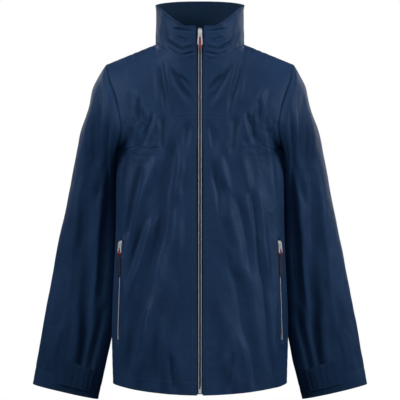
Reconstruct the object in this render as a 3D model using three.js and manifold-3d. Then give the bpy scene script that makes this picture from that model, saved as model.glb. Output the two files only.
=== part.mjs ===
// A foul weather jacket, zipped to the chin: millimetres, +Z up, front towards -Y, wearer's left at +X.
// Heights inside the jacket are measured from the neck point, where shoulder seam and collar meet.
// The whole jacket is then moved so that its origin is the inside of the hanger loop.
import * as THREE from "three";
import { mergeVertices } from "three/addons/utils/BufferGeometryUtils.js";
import Module from "manifold-3d";

// ---- Driving dimensions --------------------------------------------------------------------------

const fit = 0.3; // gap between pieces that touch
const cloth = { shell: 2.4, lining: 1.6, tape: 1.2, seam: 0.5 };
const depthOf = { facing: 2, hem: 4.5, bag: 6.5, collarLining: 6, sleeveLining: 7, lining: 14 };

const chestHalf = 174; // half width from armpit to waist; the other widths follow from it
const armpitDrop = 219;

const torso = {
  chestHalf,
  hipHalf: chestHalf + 8.5,
  hemHalf: chestHalf + 6.4,
  waistDrop: 350,
  hipDrop: 607,
  hemSideDrop: 705,
  hemFrontDrop: 721,
  armpitDrop,
  frontDepth: 120, // how far the hem's front centre stands before the middle
  backDepth: 104,
  napeDepth: 75,
  bladeDrop: 180,
  shoulderY: -8, // where the shoulder ridge runs
  sideY: -30, // where the side seams run
  squareness: 2.4, // superellipse power of the sections
};
const shoulder = { half: chestHalf + 22, slope: 22.3, crown: 150, crownPower: 2.2, neckRise: 140 };
const armhole = { dip: 16, dipBias: 0.6, stump: 56, stumpRise: 60 };
const yoke = { centreDrop: 162, outerDrop: 168 };
const collar = {
  half: 92,
  frontY: -85,
  centreY: -5,
  neckFrontDrop: 40,
  napeDrop: 15,
  frontTop: 30,
  lapelTop: 70,
  sideTop: 82.6,
  backTop: 100.5,
  flatAngle: 16.5, // degrees from the front centre to the end of the level front edge
  lapelAngle: 58,
};
const zip = {
  coilGap: 1.6,
  coilWidth: 2.3,
  coilHeight: 1.8,
  tapeEdge: 13.5,
  panelEdge: 9.5, // half width of the strip of zip left open between the front edges
  endGap: 4,
  stopLength: 3,
  boxLength: 9,
  pinLength: 14,
};
const slider = {
  width: 8.4,
  length: 12,
  plate: 1.6,
  post: 0.9,
  archWidth: 2.4,
  archHeight: 4.2,
  archHalf: 4,
  archWall: 1.2,
};
const puller = {
  thickness: 1.6,
  bar: 1.6,
  eye: 3.6,
  eyeDrop: 6,
  shoulder: 7,
  foot: 11,
  mainLength: 26,
  pocketLength: 19,
};
const cordLoop = { radius: 0.9, mainLength: 13, pocketLength: 9, depth: 2.3 };
const grip = {
  thickness: 1.4,
  eyeHeight: 4.2,
  hang: 3.5, // from the foot of the cord loop to the top of the grip
  mainWidth: 4.6,
  mainLength: 14,
  pocketWidth: 10.5,
  pocketLength: 46,
};
const pocket = {
  topX: chestHalf - 11,
  topDrop: 408,
  bottomX: chestHalf - 4.4,
  bottomDrop: 617,
  window: 4.9, // half width of the opening the zip is set in
  tapeHalf: 7.5,
  tapeSink: 1.1, // the flat tape lies this much deeper behind the curved panel
  bagInnerX: 62,
  bagOuterX: chestHalf - 26,
  bagTopDrop: 420,
  bagBottomDrop: 650,
  bagThickness: 3,
};
const sleeve = {
  // [outward from the chest's half width, height] down the inner edge
  inner: [
    [4, -armpitDrop - 2],
    [5, -armpitDrop - 43],
    [4, -armpitDrop - 101],
    [1, -400],
    [2, -500],
    [12, -610],
    [42.6, -746.7],
  ],
  // the same from the shoulder's half width down the outer edge
  outer: [[1, -43], [26, -88], [52, -165], [74, -270], [97, -390], [124, -530], [157.8, -715]],
  shoulderHalfDepth: 84,
  cuffHalfDepth: 24,
  backset: 30, // how far behind the middle the forearm hangs
  squareness: 2.3,
  settle: 0.16, // share of the sleeve over which the armhole's outline turns into an oval
  armpitStep: 4.2,
};
const cuff = { facing: 30, tabBottom: 13, tabHeight: 30, patch: 0.8, patchInset: 4 };
const tab = { anchorAngle: 46, freeAngle: 106, hookFrom: 84, hookTo: 102, loopFrom: 66, loopTo: 122 };
const hem = { height: 28, edgeX: 16 };
const flap = {
  half: 20,
  thickness: 1.6,
  depth: 7.2, // behind the front panels
  topDrop: 10, // below the top of the collar's front edge
  footRise: 2,
  guardHalf: 12,
  guardHeight: 22,
  guardDrop: 4,
};
const hanger = { width: 64, height: 22, strap: 1.6, tape: 8, standOff: 22, drop: 16 };
const liningEdgeX = 24;

// ---- Colours and finishes ------------------------------------------------------------------------

const finish = (color, roughness, metalness = 0) =>
  new THREE.MeshStandardMaterial({ color, roughness, metalness });
const shellCloth = () => finish(0x223554, 0.55);
const liningCloth = () => finish(0x14212f, 0.8);
const tapeCloth = () => finish(0x1b2534, 0.8);
const coilPlastic = () => finish(0x8d93a0, 0.45);
const whiteEnamel = () => finish(0xf2f3f4, 0.35);
const redCord = () => finish(0xb01f38, 0.7);
const darkRubber = () => finish(0x2c2f3d, 0.6);
const hookTape = () => finish(0x10141b, 0.9);

// ---- Small helpers -------------------------------------------------------------------------------

const { clamp, lerp, smoothstep, degToRad } = THREE.MathUtils;
const wasm = await Module();
wasm.setup();

const signedPower = (value, power) => Math.sign(value) * Math.abs(value) ** power;

function mesh(name, geometry, material) {
  const made = new THREE.Mesh(geometry, material);
  made.name = name;
  return made;
}

function solidOf(geometry) {
  const bare = geometry.clone();
  bare.deleteAttribute("normal");
  bare.deleteAttribute("uv");
  const merged = mergeVertices(bare, 1e-4);
  return new wasm.Manifold(
    new wasm.Mesh({
      numProp: 3,
      vertProperties: new Float32Array(merged.attributes.position.array),
      triVerts: new Uint32Array(merged.index.array),
    }),
  );
}

function geometryOf(solid) {
  const { vertProperties, triVerts } = solid.getMesh();
  const geometry = new THREE.BufferGeometry();
  geometry.setAttribute("position", new THREE.BufferAttribute(vertProperties, 3));
  geometry.setIndex(new THREE.BufferAttribute(triVerts, 1));
  return geometry;
}

const joined = (...parts) => geometryOf(parts.map(solidOf).reduce((all, part) => all.add(part)));
const cut = (body, tool) => geometryOf(solidOf(body).subtract(solidOf(tool)));

// The unit normal of a surface place(u, v), on the side that u then v turn round by the right hand.
function normalOf(place, u, v) {
  const step = 1e-3;
  const along = place(Math.min(u + step, 1), v).sub(place(Math.max(u - step, 0), v));
  const up = place(u, Math.min(v + step, 1)).sub(place(u, Math.max(v - step, 0)));
  return along.cross(up).normalize();
}

// A sheet of cloth on place(u, v), from one depth to another along its normal.
function sheet(place, columns, rows, low, high) {
  const geometry = new THREE.BoxGeometry(1, 1, 1, columns, rows, 1).translate(0.5, 0.5, 0.5);
  const spots = geometry.attributes.position;
  for (let i = 0; i < spots.count; i++) {
    const [u, v] = [spots.getX(i), spots.getY(i)];
    const spot = place(u, v).addScaledVector(normalOf(place, u, v), lerp(low, high, spots.getZ(i)));
    spots.setXYZ(i, spot.x, spot.y, spot.z);
  }
  return geometry;
}

// A tube of cloth on place(u, v), where u goes once round.
function tube(place, segments, rings, low, high) {
  const profile = [];
  for (let i = 0; i <= rings; i++) profile.push(new THREE.Vector2(2, i / rings));
  for (let i = rings; i >= 0; i--) profile.push(new THREE.Vector2(1, i / rings));
  profile.push(profile[0].clone());
  const geometry = new THREE.LatheGeometry(profile, segments);
  const spots = geometry.attributes.position;
  for (let i = 0; i < spots.count; i++) {
    const [x, v, z] = [spots.getX(i), spots.getY(i), spots.getZ(i)];
    const turn = (Math.atan2(x, z) / (2 * Math.PI) + 1) % 1;
    const u = turn > 1 - 1e-6 ? 0 : turn;
    const spot = place(u, v).addScaledVector(tubeNormal(place, u, v), Math.hypot(x, z) > 1.5 ? high : low);
    spots.setXYZ(i, spot.x, spot.y, spot.z);
  }
  return geometry;
}

function tubeNormal(place, u, v) {
  const step = 1e-3;
  const along = place((u + step) % 1, v).sub(place((u + 1 - step) % 1, v));
  const up = place(u, Math.min(v + step, 1)).sub(place(u, Math.max(v - step, 0)));
  return along.cross(up).normalize();
}

// A patch in the plane of two numbers from its four edges, each a function of 0 to 1.
function coons(bottom, top, left, right) {
  const blend = (p, q, t) => p.clone().lerp(q, t);
  return (u, v) =>
    blend(left(v), right(v), u)
      .add(blend(bottom(u), top(u), v))
      .sub(blend(blend(bottom(0), bottom(1), u), blend(top(0), top(1), u), v));
}

// Two curves end to end: the first until the kink, the second after it.
const chain = (first, second, kink) => (t) =>
  t <= kink ? first(t / kink) : second((t - kink) / (1 - kink));
const line = (from, to) => (t) => from.clone().lerp(to, t);
const inset = (place, du, dv) => (u, v) => place(lerp(du, 1 - du, u), lerp(dv, 1 - dv, v));

// ---- The body's surface --------------------------------------------------------------------------

const frontSlope = (torso.frontDepth + collar.frontY) / (collar.frontTop + torso.hemFrontDrop);
const centreFrontY = (z) => collar.frontY + (z - collar.frontTop) * frontSlope;
const centreBackY = (z) =>
  lerp(torso.napeDepth, torso.backDepth, smoothstep(-z, collar.napeDrop, torso.bladeDrop));
const middleY = (z) =>
  lerp(torso.shoulderY, torso.sideY, smoothstep(-z, torso.armpitDrop, torso.waistDrop));

function halfWidth(z) {
  const stump = clamp((z + torso.armpitDrop) / armhole.stumpRise, 0, 1) ** 0.6;
  const hip = smoothstep(-z, torso.waistDrop, torso.hipDrop);
  const draw = smoothstep(-z, torso.hipDrop, torso.hemSideDrop);
  return (
    torso.chestHalf +
    armhole.stump * stump +
    (torso.hipHalf - torso.chestHalf) * hip -
    (torso.hipHalf - torso.hemHalf) * draw
  );
}

function ridgeZ(x) {
  const out = Math.abs(x) - collar.half;
  if (out > 0) return -out * Math.tan(degToRad(shoulder.slope));
  return (-out / collar.half) * shoulder.neckRise;
}

function crown(x, z) {
  const below = clamp((ridgeZ(x) - z) / shoulder.crown, 0, 1);
  return (1 - (1 - below) ** shoulder.crownPower) ** (1 / shoulder.crownPower);
}

// A point of the body: girth is an angle from the centre line (0) to the side seam (90 degrees),
// front is -1 on the front and 1 on the back.
function bodyPoint(front, girth, z) {
  const power = 2 / torso.squareness;
  const x = halfWidth(z) * signedPower(Math.sin(girth), power);
  const centre = front < 0 ? centreFrontY(z) : centreBackY(z);
  const reach = (centre - middleY(z)) * Math.abs(Math.cos(girth)) ** power * crown(x, z);
  return new THREE.Vector3(x, middleY(z) + reach, z);
}

function girthAt(x, z) {
  const share = Math.min(1, Math.abs(x) / halfWidth(z)) ** (torso.squareness / 2);
  return Math.sign(x) * Math.asin(share);
}

// ---- Outlines of the pattern pieces --------------------------------------------------------------

const tipZ = ridgeZ(shoulder.half);
const armholeX = (z) => {
  const rise = clamp((z + torso.armpitDrop) / (tipZ + torso.armpitDrop), 0, 1);
  const dip = Math.sin(Math.PI * rise ** armhole.dipBias) ** 2;
  return lerp(torso.chestHalf, shoulder.half, rise) - armhole.dip * dip;
};
const neckZ = (x, drop) => -drop * (1 - (x / collar.half) ** 2);
const edgeGirth = (z) => (z > -torso.armpitDrop ? girthAt(armholeX(z), z) : Math.PI / 2);

// Patterns are drawn in a flat plane: across, 0 at the centre line and 1 at the side seam or the
// armhole; upwards, the height.
const spot = (x, z) => new THREE.Vector2(girthAt(x, z) / edgeGirth(z), z);
const bodySurface = (front, patch) => (u, v) => {
  const at = patch(u, v);
  return bodyPoint(front, at.x * edgeGirth(at.y), at.y);
};
const sideEdge = (fromZ, toZ, hand) => line(new THREE.Vector2(hand, fromZ), new THREE.Vector2(hand, toZ));
const shellSide = (hand) =>
  chain(
    sideEdge(-torso.hemSideDrop, -torso.armpitDrop, hand),
    sideEdge(-torso.armpitDrop, -yoke.outerDrop, hand),
    0.8,
  );
const neckEdge = (fromX, toX, drop) => (t) => {
  const x = lerp(fromX, toX, t);
  return spot(x, neckZ(x, drop));
};
const shoulderEdge = (fromX, toX) => (t) => {
  const x = lerp(fromX, toX, t);
  return spot(x, ridgeZ(x));
};

const neckPoint = collar.half + 1e-3;
const hemFrontZ = (x) => -lerp(torso.hemFrontDrop, torso.hemSideDrop, (x / torso.hemHalf) ** 2);

function frontPanelPatch(edgeX) {
  const bottom = (t) => {
    const x = lerp(edgeX, torso.hemHalf, Math.sin((t * Math.PI) / 2) ** 0.8);
    const z = hemFrontZ(x);
    return new THREE.Vector2(lerp(spot(edgeX, z).x, 1, t), z);
  };
  return coons(
    bottom,
    line(spot(edgeX, -yoke.centreDrop), new THREE.Vector2(1, -yoke.outerDrop)),
    line(spot(edgeX, hemFrontZ(edgeX)), spot(edgeX, -yoke.centreDrop)),
    shellSide(1),
  );
}

function frontYokePatch(edgeX) {
  const neckFoot = neckZ(edgeX, collar.neckFrontDrop);
  return coons(
    line(spot(edgeX, -yoke.centreDrop), new THREE.Vector2(1, -yoke.outerDrop)),
    shoulderEdge(neckPoint, shoulder.half),
    chain(
      line(spot(edgeX, -yoke.centreDrop), spot(edgeX, neckFoot)),
      neckEdge(edgeX, collar.half, collar.neckFrontDrop),
      0.5,
    ),
    sideEdge(-yoke.outerDrop, tipZ, 1),
  );
}

const levelEdge = (z, reach = 1) => line(new THREE.Vector2(reach, z), new THREE.Vector2(-reach, z));

function backPanelPatch() {
  return coons(levelEdge(-torso.hemSideDrop), levelEdge(-yoke.outerDrop), shellSide(1), shellSide(-1));
}

// Shoulder, back of the neck, shoulder: thirds of one edge.
const backTopEdge = chain(
  shoulderEdge(shoulder.half, neckPoint),
  chain(neckEdge(collar.half, -collar.half, collar.napeDrop), shoulderEdge(-neckPoint, -shoulder.half), 0.5),
  1 / 3,
);

function backYokePatch() {
  return coons(
    levelEdge(-yoke.outerDrop),
    backTopEdge,
    sideEdge(-yoke.outerDrop, tipZ, 1),
    sideEdge(-yoke.outerDrop, tipZ, -1),
  );
}

// The linings are cut in one from above the hem to the shoulder.
const liningHemZ = -(torso.hemSideDrop - hem.height - 4);
const liningReach = 0.97;
const liningSide = (hand) =>
  chain(
    sideEdge(liningHemZ, -torso.armpitDrop, hand * liningReach),
    sideEdge(-torso.armpitDrop, tipZ, hand * liningReach),
    0.7,
  );
const liningTop = (fromX, toX) => (t) => {
  const edge = shoulderEdge(fromX, toX)(t);
  return edge.setX(edge.x * liningReach);
};

function frontLiningPatch() {
  const neckFoot = neckZ(liningEdgeX, collar.neckFrontDrop);
  return coons(
    line(spot(liningEdgeX, liningHemZ), new THREE.Vector2(liningReach, liningHemZ)),
    liningTop(neckPoint, shoulder.half),
    chain(
      line(spot(liningEdgeX, liningHemZ), spot(liningEdgeX, neckFoot)),
      neckEdge(liningEdgeX, collar.half, collar.neckFrontDrop),
      0.8,
    ),
    liningSide(1),
  );
}

function backLiningPatch() {
  const top = (t) => {
    const edge = backTopEdge(t);
    return edge.setX(edge.x * liningReach);
  };
  return coons(levelEdge(liningHemZ, liningReach), top, liningSide(1), liningSide(-1));
}

// ---- Shell panels, linings and hem ---------------------------------------------------------------

const outside = cloth.shell / 2;
const shellSheet = (place, columns, rows) => sheet(place, columns, rows, -outside, outside);
const innerSheet = (place, columns, rows, depth) =>
  sheet(place, columns, rows, -depth - cloth.lining, -depth);
const across = cloth.seam / 250;
const upward = cloth.seam / 500;
const ridgeInset = 1e-4;
const liningInset = 0.03;

function frontPanel(hand) {
  const panel = shellSheet(inset(bodySurface(-1, frontPanelPatch(zip.panelEdge)), across, upward), 12, 10);
  return mesh(hand + "_front_panel", cut(panel, pocketWindow()), shellCloth());
}

function frontYoke(hand) {
  const place = bodySurface(-1, frontYokePatch(zip.panelEdge));
  const held = (u, v) => place(lerp(across, 1 - across, u), lerp(4 * upward, 1 - ridgeInset, v));
  return mesh(hand + "_front_yoke", shellSheet(held, 8, 8), shellCloth());
}

function backPanel() {
  const place = inset(bodySurface(1, backPanelPatch()), across, upward);
  return mesh("back_panel", shellSheet(place, 14, 10), shellCloth());
}

function backYoke() {
  const place = bodySurface(1, backYokePatch());
  const held = (u, v) => place(lerp(across, 1 - across, u), lerp(4 * upward, 1 - ridgeInset, v));
  return mesh("back_yoke", shellSheet(held, 12, 6), shellCloth());
}

function frontLining(hand) {
  const place = inset(bodySurface(-1, frontLiningPatch()), across, liningInset);
  return mesh(hand + "_front_lining", innerSheet(place, 8, 10, depthOf.lining), liningCloth());
}

function backLining() {
  const place = inset(bodySurface(1, backLiningPatch()), across, liningInset);
  return mesh("back_lining", innerSheet(place, 14, 10, depthOf.lining), liningCloth());
}

// The turned-up hem: one strip from zip to zip round the back, open at the front.
function hemFacing() {
  const quarter = 0.25;
  const place = (u, v) => {
    const onFront = u < quarter || u > 1 - quarter;
    const hand = u < 0.5 ? 1 : -1;
    const share = onFront ? Math.min(u, 1 - u) / quarter : (0.5 - Math.abs(u - 0.5)) / quarter - 1;
    const startZ = -torso.hemFrontDrop;
    const girth = onFront
      ? lerp(girthAt(hem.edgeX, startZ), Math.PI / 2, share)
      : (Math.PI / 2) * (1 - share);
    const x = halfWidth(startZ) * Math.sin(girth);
    const lowest = onFront ? hemFrontZ(Math.min(x, torso.hemHalf)) : -torso.hemSideDrop;
    return bodyPoint(onFront ? -1 : 1, hand * girth, lowest + 1 + v * hem.height);
  };
  return mesh("hem_facing", innerSheet(place, 40, 1, depthOf.hem), shellCloth());
}

// ---- Collar --------------------------------------------------------------------------------------

const collarFrontAngle = Math.asin(zip.panelEdge / collar.half);
const collarDepth = collar.centreY - collar.frontY;

function collarTopZ(angle) {
  const fromFront = THREE.MathUtils.radToDeg(Math.min(angle, 2 * Math.PI - angle));
  if (fromFront < collar.flatAngle) return collar.frontTop;
  if (fromFront < collar.lapelAngle) {
    const share = (fromFront - collar.flatAngle) / (collar.lapelAngle - collar.flatAngle);
    return lerp(collar.frontTop, collar.lapelTop, share);
  }
  if (fromFront < 90) {
    return lerp(collar.lapelTop, collar.sideTop, (fromFront - collar.lapelAngle) / (90 - collar.lapelAngle));
  }
  return lerp(collar.sideTop, collar.backTop, Math.sin(degToRad(fromFront - 90)));
}

// angle runs from the front centre past the wearer's left side to the back.
function collarPoint(angle, v) {
  const x = collar.half * Math.sin(angle);
  const onFront = Math.cos(angle) > 0;
  const drop = onFront ? collar.neckFrontDrop : collar.napeDrop;
  const footZ = neckZ(x, drop);
  const foot = bodyPoint(onFront ? -1 : 1, girthAt(x, footZ), footZ);
  const power = 2 / torso.squareness;
  const top = new THREE.Vector3(
    collar.half * signedPower(Math.sin(angle), power),
    collar.centreY - collarDepth * signedPower(Math.cos(angle), power),
    collarTopZ(angle),
  );
  return foot.lerp(top, v);
}

const collarSurface = (edgeX, base) => (u, v) => {
  const start = Math.asin(edgeX / collar.half);
  return collarPoint(lerp(start, 2 * Math.PI - start, u), lerp(base, 1, v));
};

function collarPieces() {
  const base = 0.035;
  return [
    mesh("collar_shell", shellSheet(collarSurface(zip.panelEdge, base), 30, 3), shellCloth()),
    mesh(
      "collar_lining",
      innerSheet(collarSurface(flap.half + 2.5, base), 24, 2, depthOf.collarLining),
      liningCloth(),
    ),
  ];
}

// ---- Zip hardware --------------------------------------------------------------------------------

function box(width, depth, height, x = 0, y = 0, z = 0) {
  return new THREE.BoxGeometry(width, depth, height).translate(x, y, z);
}

// An outline in x and z, as thick as given, with its middle at y = 0.
function plate(shape, thickness) {
  return new THREE.ExtrudeGeometry(shape, { depth: thickness, bevelEnabled: false, curveSegments: 8 })
    .translate(0, 0, -thickness / 2)
    .rotateX(Math.PI / 2);
}

const tapeFront = outside + 2 * fit;
const coilFront = tapeFront - fit - zip.coilHeight; // y of the coil's outer face, negative is outward
const coilMiddleX = zip.coilGap / 2 + zip.coilWidth / 2;

// The slider: two plates, the post between the coils, and the arch that holds the puller.
// Its middle is at z = 0; y is measured as on the tape, so negative is outward.
function sliderParts(sink) {
  const front = coilFront + sink - fit - slider.plate / 2;
  const back = tapeFront + sink + cloth.tape + fit + slider.plate / 2;
  const face = front - slider.plate / 2;
  const legZ = slider.archHalf - slider.archWall / 2;
  const root = slider.plate / 2;
  const legY = face - (slider.archHeight - root) / 2;
  const leg = (z) => box(slider.archWidth, slider.archHeight + root, slider.archWall, 0, legY, z);
  const geometry = joined(
    box(slider.width, slider.plate, slider.length, 0, front),
    box(slider.width, slider.plate, slider.length, 0, back),
    box(slider.post, back - front, slider.length * 0.4, 0, (front + back) / 2, slider.length * 0.3),
    leg(legZ),
    leg(-legZ),
    box(
      slider.archWidth,
      slider.archWall,
      2 * slider.archHalf,
      0,
      face - slider.archHeight + slider.archWall / 2,
    ),
  );
  const pivotY = face - (slider.archHeight - slider.archWall) / 2;
  return { geometry, pivotY };
}

// The puller hangs from its pivot at the origin: an eye over the arch, two rails and a foot bar.
function pullerGeometry(length) {
  const shape = new THREE.Shape();
  const top = puller.bar / 2;
  shape.moveTo(-puller.shoulder / 2, top).lineTo(puller.shoulder / 2, top);
  shape.lineTo(puller.foot / 2, -length + 3).lineTo(puller.foot / 2 - 2, -length);
  shape.lineTo(-puller.foot / 2 + 2, -length).lineTo(-puller.foot / 2, -length + 3).closePath();
  const eye = new THREE.Path();
  const eyeHalf = puller.eye / 2;
  eye.moveTo(-eyeHalf, -top).lineTo(-eyeHalf, -puller.eyeDrop).lineTo(eyeHalf, -puller.eyeDrop);
  eye.lineTo(eyeHalf, -top).closePath();
  const window = new THREE.Path();
  const [windowTop, windowFoot] = [-puller.eyeDrop - puller.bar, -length + puller.bar];
  window.moveTo(-1.2, windowTop).lineTo(-puller.foot / 2 + 2.4, windowFoot);
  window.lineTo(puller.foot / 2 - 2.4, windowFoot).lineTo(1.2, windowTop).closePath();
  shape.holes.push(eye, window);
  return plate(shape, puller.thickness);
}

// A loop of cord linked through the puller's foot bar and the grip's eye.
function loopGeometry(length) {
  const half = length / 2;
  const ring = new THREE.TorusGeometry(1, 0.3, 6, 16).rotateY(Math.PI / 2);
  const spots = ring.attributes.position;
  for (let i = 0; i < spots.count; i++) {
    const [x, y, z] = [spots.getX(i), spots.getY(i), spots.getZ(i)];
    const out = Math.hypot(y, z);
    const [cos, sin] = [y / out, z / out];
    const swell = ((out - 1) / 0.3) * cordLoop.radius;
    const wide = signedPower(cos, 0.5) * cordLoop.depth + cos * swell;
    spots.setXYZ(i, (x / 0.3) * cordLoop.radius, wide, sin * (half + swell) - half);
  }
  return ring;
}

// The dark end of a pull: a flat bar with an eye at its top, where z = 0.
function gripGeometry(width, length) {
  const shape = new THREE.Shape();
  shape.moveTo(-width / 2, 0).lineTo(width / 2, 0).lineTo(width / 2, -length + 1.5);
  shape.lineTo(width / 2 - 1, -length).lineTo(-width / 2 + 1, -length);
  shape.lineTo(-width / 2, -length + 1.5).closePath();
  const eye = new THREE.Path();
  const half = cordLoop.radius + fit;
  eye.moveTo(-half, -1).lineTo(-half, -1 - grip.eyeHeight).lineTo(half, -1 - grip.eyeHeight);
  eye.lineTo(half, -1).closePath();
  shape.holes.push(eye);
  return plate(shape, grip.thickness);
}

// Slider, puller, cord loop and grip in a group whose origin is the slider's middle.
function pullTrain(names, pullLength, loopLength, gripWidth, gripLength, sink) {
  const group = new THREE.Group();
  const { geometry, pivotY } = sliderParts(sink);
  const pull = mesh(names.puller, pullerGeometry(pullLength), whiteEnamel());
  pull.position.y = pivotY;
  const loop = mesh(names.loop, loopGeometry(loopLength), redCord());
  loop.position.set(0, pivotY, -pullLength + puller.bar + cordLoop.radius * 2 + fit);
  const end = mesh(names.grip, gripGeometry(gripWidth, gripLength), darkRubber());
  end.position.set(0, pivotY, loop.position.z - loopLength + grip.hang);
  group.add(mesh(names.slider, geometry, whiteEnamel()), pull, loop, end);
  return group;
}

// ---- The main zip --------------------------------------------------------------------------------

// Local z runs up the zip from the top of the collar's front edge, and local y points inwards.
const zipTilt = Math.atan(frontSlope);
const zipLength = Math.hypot(
  collar.frontTop + torso.hemFrontDrop,
  torso.frontDepth + collar.frontY,
);

function mainZip() {
  const group = new THREE.Group();
  group.position.set(0, collar.frontY, collar.frontTop);
  group.rotation.x = -zipTilt;
  const top = -zip.endGap;
  const foot = -(zipLength - zip.endGap);
  const coilTop = top - zip.stopLength - fit;
  const coilFoot = foot + zip.boxLength + fit;
  const coilY = coilFront + zip.coilHeight / 2;
  const coilThick = zip.coilHeight - fit;
  for (const [hand, side] of [["left", 1], ["right", -1]]) {
    const tapeX = (zip.coilGap / 2 + zip.tapeEdge) / 2;
    const tapeWidth = zip.tapeEdge - zip.coilGap / 2;
    const tapeY = tapeFront + cloth.tape / 2;
    const tape = box(tapeWidth, cloth.tape, top - foot, side * tapeX, tapeY, (top + foot) / 2);
    const coilRun = coilTop - (hand === "right" ? coilFoot : foot + zip.pinLength + fit);
    const coilBox = (height, z) => box(zip.coilWidth, coilThick, height, side * coilMiddleX, coilY, z);
    const coil = coilBox(coilRun, coilTop - coilRun / 2);
    const stop = coilBox(zip.stopLength, top - zip.stopLength / 2);
    group.add(
      mesh(hand + "_zip_tape", tape, tapeCloth()),
      mesh(hand + "_zip_coil", coil, coilPlastic()),
      mesh(hand + "_zip_top_stop", stop, coilPlastic()),
    );
  }
  const pinRun = zip.pinLength - zip.boxLength;
  const pinZ = coilFoot + pinRun / 2;
  const pin = box(zip.coilWidth, coilThick, pinRun, coilMiddleX, coilY, pinZ);
  const boxWidth = 2 * coilMiddleX + zip.coilWidth;
  const retainer = box(boxWidth, coilThick, zip.boxLength, 0, coilY, foot + zip.boxLength / 2);
  const flapLength = zipLength - flap.topDrop - flap.footRise;
  const guardY = flap.depth + flap.thickness + fit;
  const guardZ = -flap.guardHeight / 2 - flap.guardDrop;
  group.add(
    mesh("zip_insert_pin", pin, coilPlastic()),
    mesh("zip_retainer_box", retainer, coilPlastic()),
    mesh(
      "storm_flap",
      box(2 * flap.half, flap.thickness, flapLength, 0, flap.depth, -flap.topDrop - flapLength / 2),
      shellCloth(),
    ),
    mesh(
      "chin_guard",
      box(2 * flap.guardHalf, flap.thickness, flap.guardHeight, 0, guardY, guardZ),
      liningCloth(),
    ),
  );
  const train = pullTrain(
    { slider: "main_slider", puller: "main_puller", loop: "main_cord_loop", grip: "main_pull_end" },
    puller.mainLength,
    cordLoop.mainLength,
    grip.mainWidth,
    grip.mainLength,
    0,
  );
  train.position.z = coilTop - slider.length / 2 - fit;
  group.add(train);
  return group;
}

// ---- Pockets -------------------------------------------------------------------------------------

// The frame of the wearer's left pocket zip: z up along it, y inwards, origin at its top.
function pocketFrame() {
  const topZ = -pocket.topDrop;
  const footZ = -pocket.bottomDrop;
  const top = bodyPoint(-1, girthAt(pocket.topX, topZ), topZ);
  const foot = bodyPoint(-1, girthAt(pocket.bottomX, footZ), footZ);
  const up = top.clone().sub(foot);
  const length = up.length();
  up.normalize();
  const step = 1;
  const middle = top.clone().lerp(foot, 0.5);
  const beside = bodyPoint(-1, girthAt(middle.x + step, middle.z), middle.z);
  const before = bodyPoint(-1, girthAt(middle.x - step, middle.z), middle.z);
  const outward = beside.sub(before).cross(up).normalize();
  const inward = outward.clone().negate();
  const aside = inward.clone().cross(up).normalize();
  const frame = new THREE.Matrix4().makeBasis(aside, up.clone().cross(aside), up).setPosition(top);
  return { frame, length };
}

function pocketWindow() {
  const { frame, length } = pocketFrame();
  const depth = 30;
  return box(2 * pocket.window, depth, length, 0, 0, -length / 2).applyMatrix4(frame);
}

function pocketZip(hand) {
  const { frame, length } = pocketFrame();
  const group = new THREE.Group();
  group.applyMatrix4(frame);
  const name = (piece) => hand + "_pocket_" + piece;
  const sink = pocket.tapeSink;
  const tapeY = tapeFront + sink + cloth.tape / 2;
  const coilY = coilFront + sink + zip.coilHeight / 2;
  const ends = zip.stopLength;
  const tape = new THREE.Shape();
  tape.moveTo(-pocket.tapeHalf, 2).lineTo(pocket.tapeHalf, 2);
  tape.lineTo(pocket.tapeHalf, -length - 2).lineTo(-pocket.tapeHalf, -length - 2).closePath();
  const split = new THREE.Path();
  const gap = zip.coilGap / 2;
  split.moveTo(-gap, 0).lineTo(-gap, -length).lineTo(gap, -length).lineTo(gap, 0).closePath();
  tape.holes.push(split);
  const coil = new THREE.Shape();
  const outer = gap + zip.coilWidth;
  const [coilTop, coilFoot] = [-1, -length + 1];
  coil.moveTo(gap, coilTop).lineTo(gap, coilFoot + ends).lineTo(-gap, coilFoot + ends).lineTo(-gap, coilTop);
  coil.lineTo(-outer, coilTop).lineTo(-outer, coilFoot).lineTo(outer, coilFoot);
  coil.lineTo(outer, coilTop).closePath();
  group.add(
    mesh(name("zip_tape"), plate(tape, cloth.tape).translate(0, tapeY, 0), tapeCloth()),
    mesh(name("zip_coil"), plate(coil, zip.coilHeight - fit).translate(0, coilY, 0), coilPlastic()),
  );
  const train = pullTrain(
    { slider: name("slider"), puller: name("puller"), loop: name("cord_loop"), grip: name("pull_tab") },
    puller.pocketLength,
    cordLoop.pocketLength,
    grip.pocketWidth,
    grip.pocketLength,
    sink,
  );
  train.position.z = coilTop - slider.length / 2 - 1;
  group.add(train);
  return group;
}

function pocketBag(hand) {
  const [top, foot] = [-pocket.bagTopDrop, -pocket.bagBottomDrop];
  const patch = coons(
    line(spot(pocket.bagInnerX, foot), spot(pocket.bagOuterX, foot)),
    line(spot(pocket.bagInnerX, top), spot(pocket.bagOuterX, top)),
    line(spot(pocket.bagInnerX, foot), spot(pocket.bagInnerX, top)),
    line(spot(pocket.bagOuterX, foot), spot(pocket.bagOuterX, top)),
  );
  const low = -depthOf.bag - pocket.bagThickness;
  return mesh(hand + "_pocket_bag", sheet(bodySurface(-1, patch), 4, 4, low, -depthOf.bag), liningCloth());
}

// ---- Sleeves -------------------------------------------------------------------------------------

const splineOf = (points, startX) =>
  new THREE.SplineCurve(points.map(([x, z]) => new THREE.Vector2(startX + x, z)));
const innerEdge = splineOf(sleeve.inner, torso.chestHalf);
const outerEdge = splineOf(sleeve.outer, shoulder.half);

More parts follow.
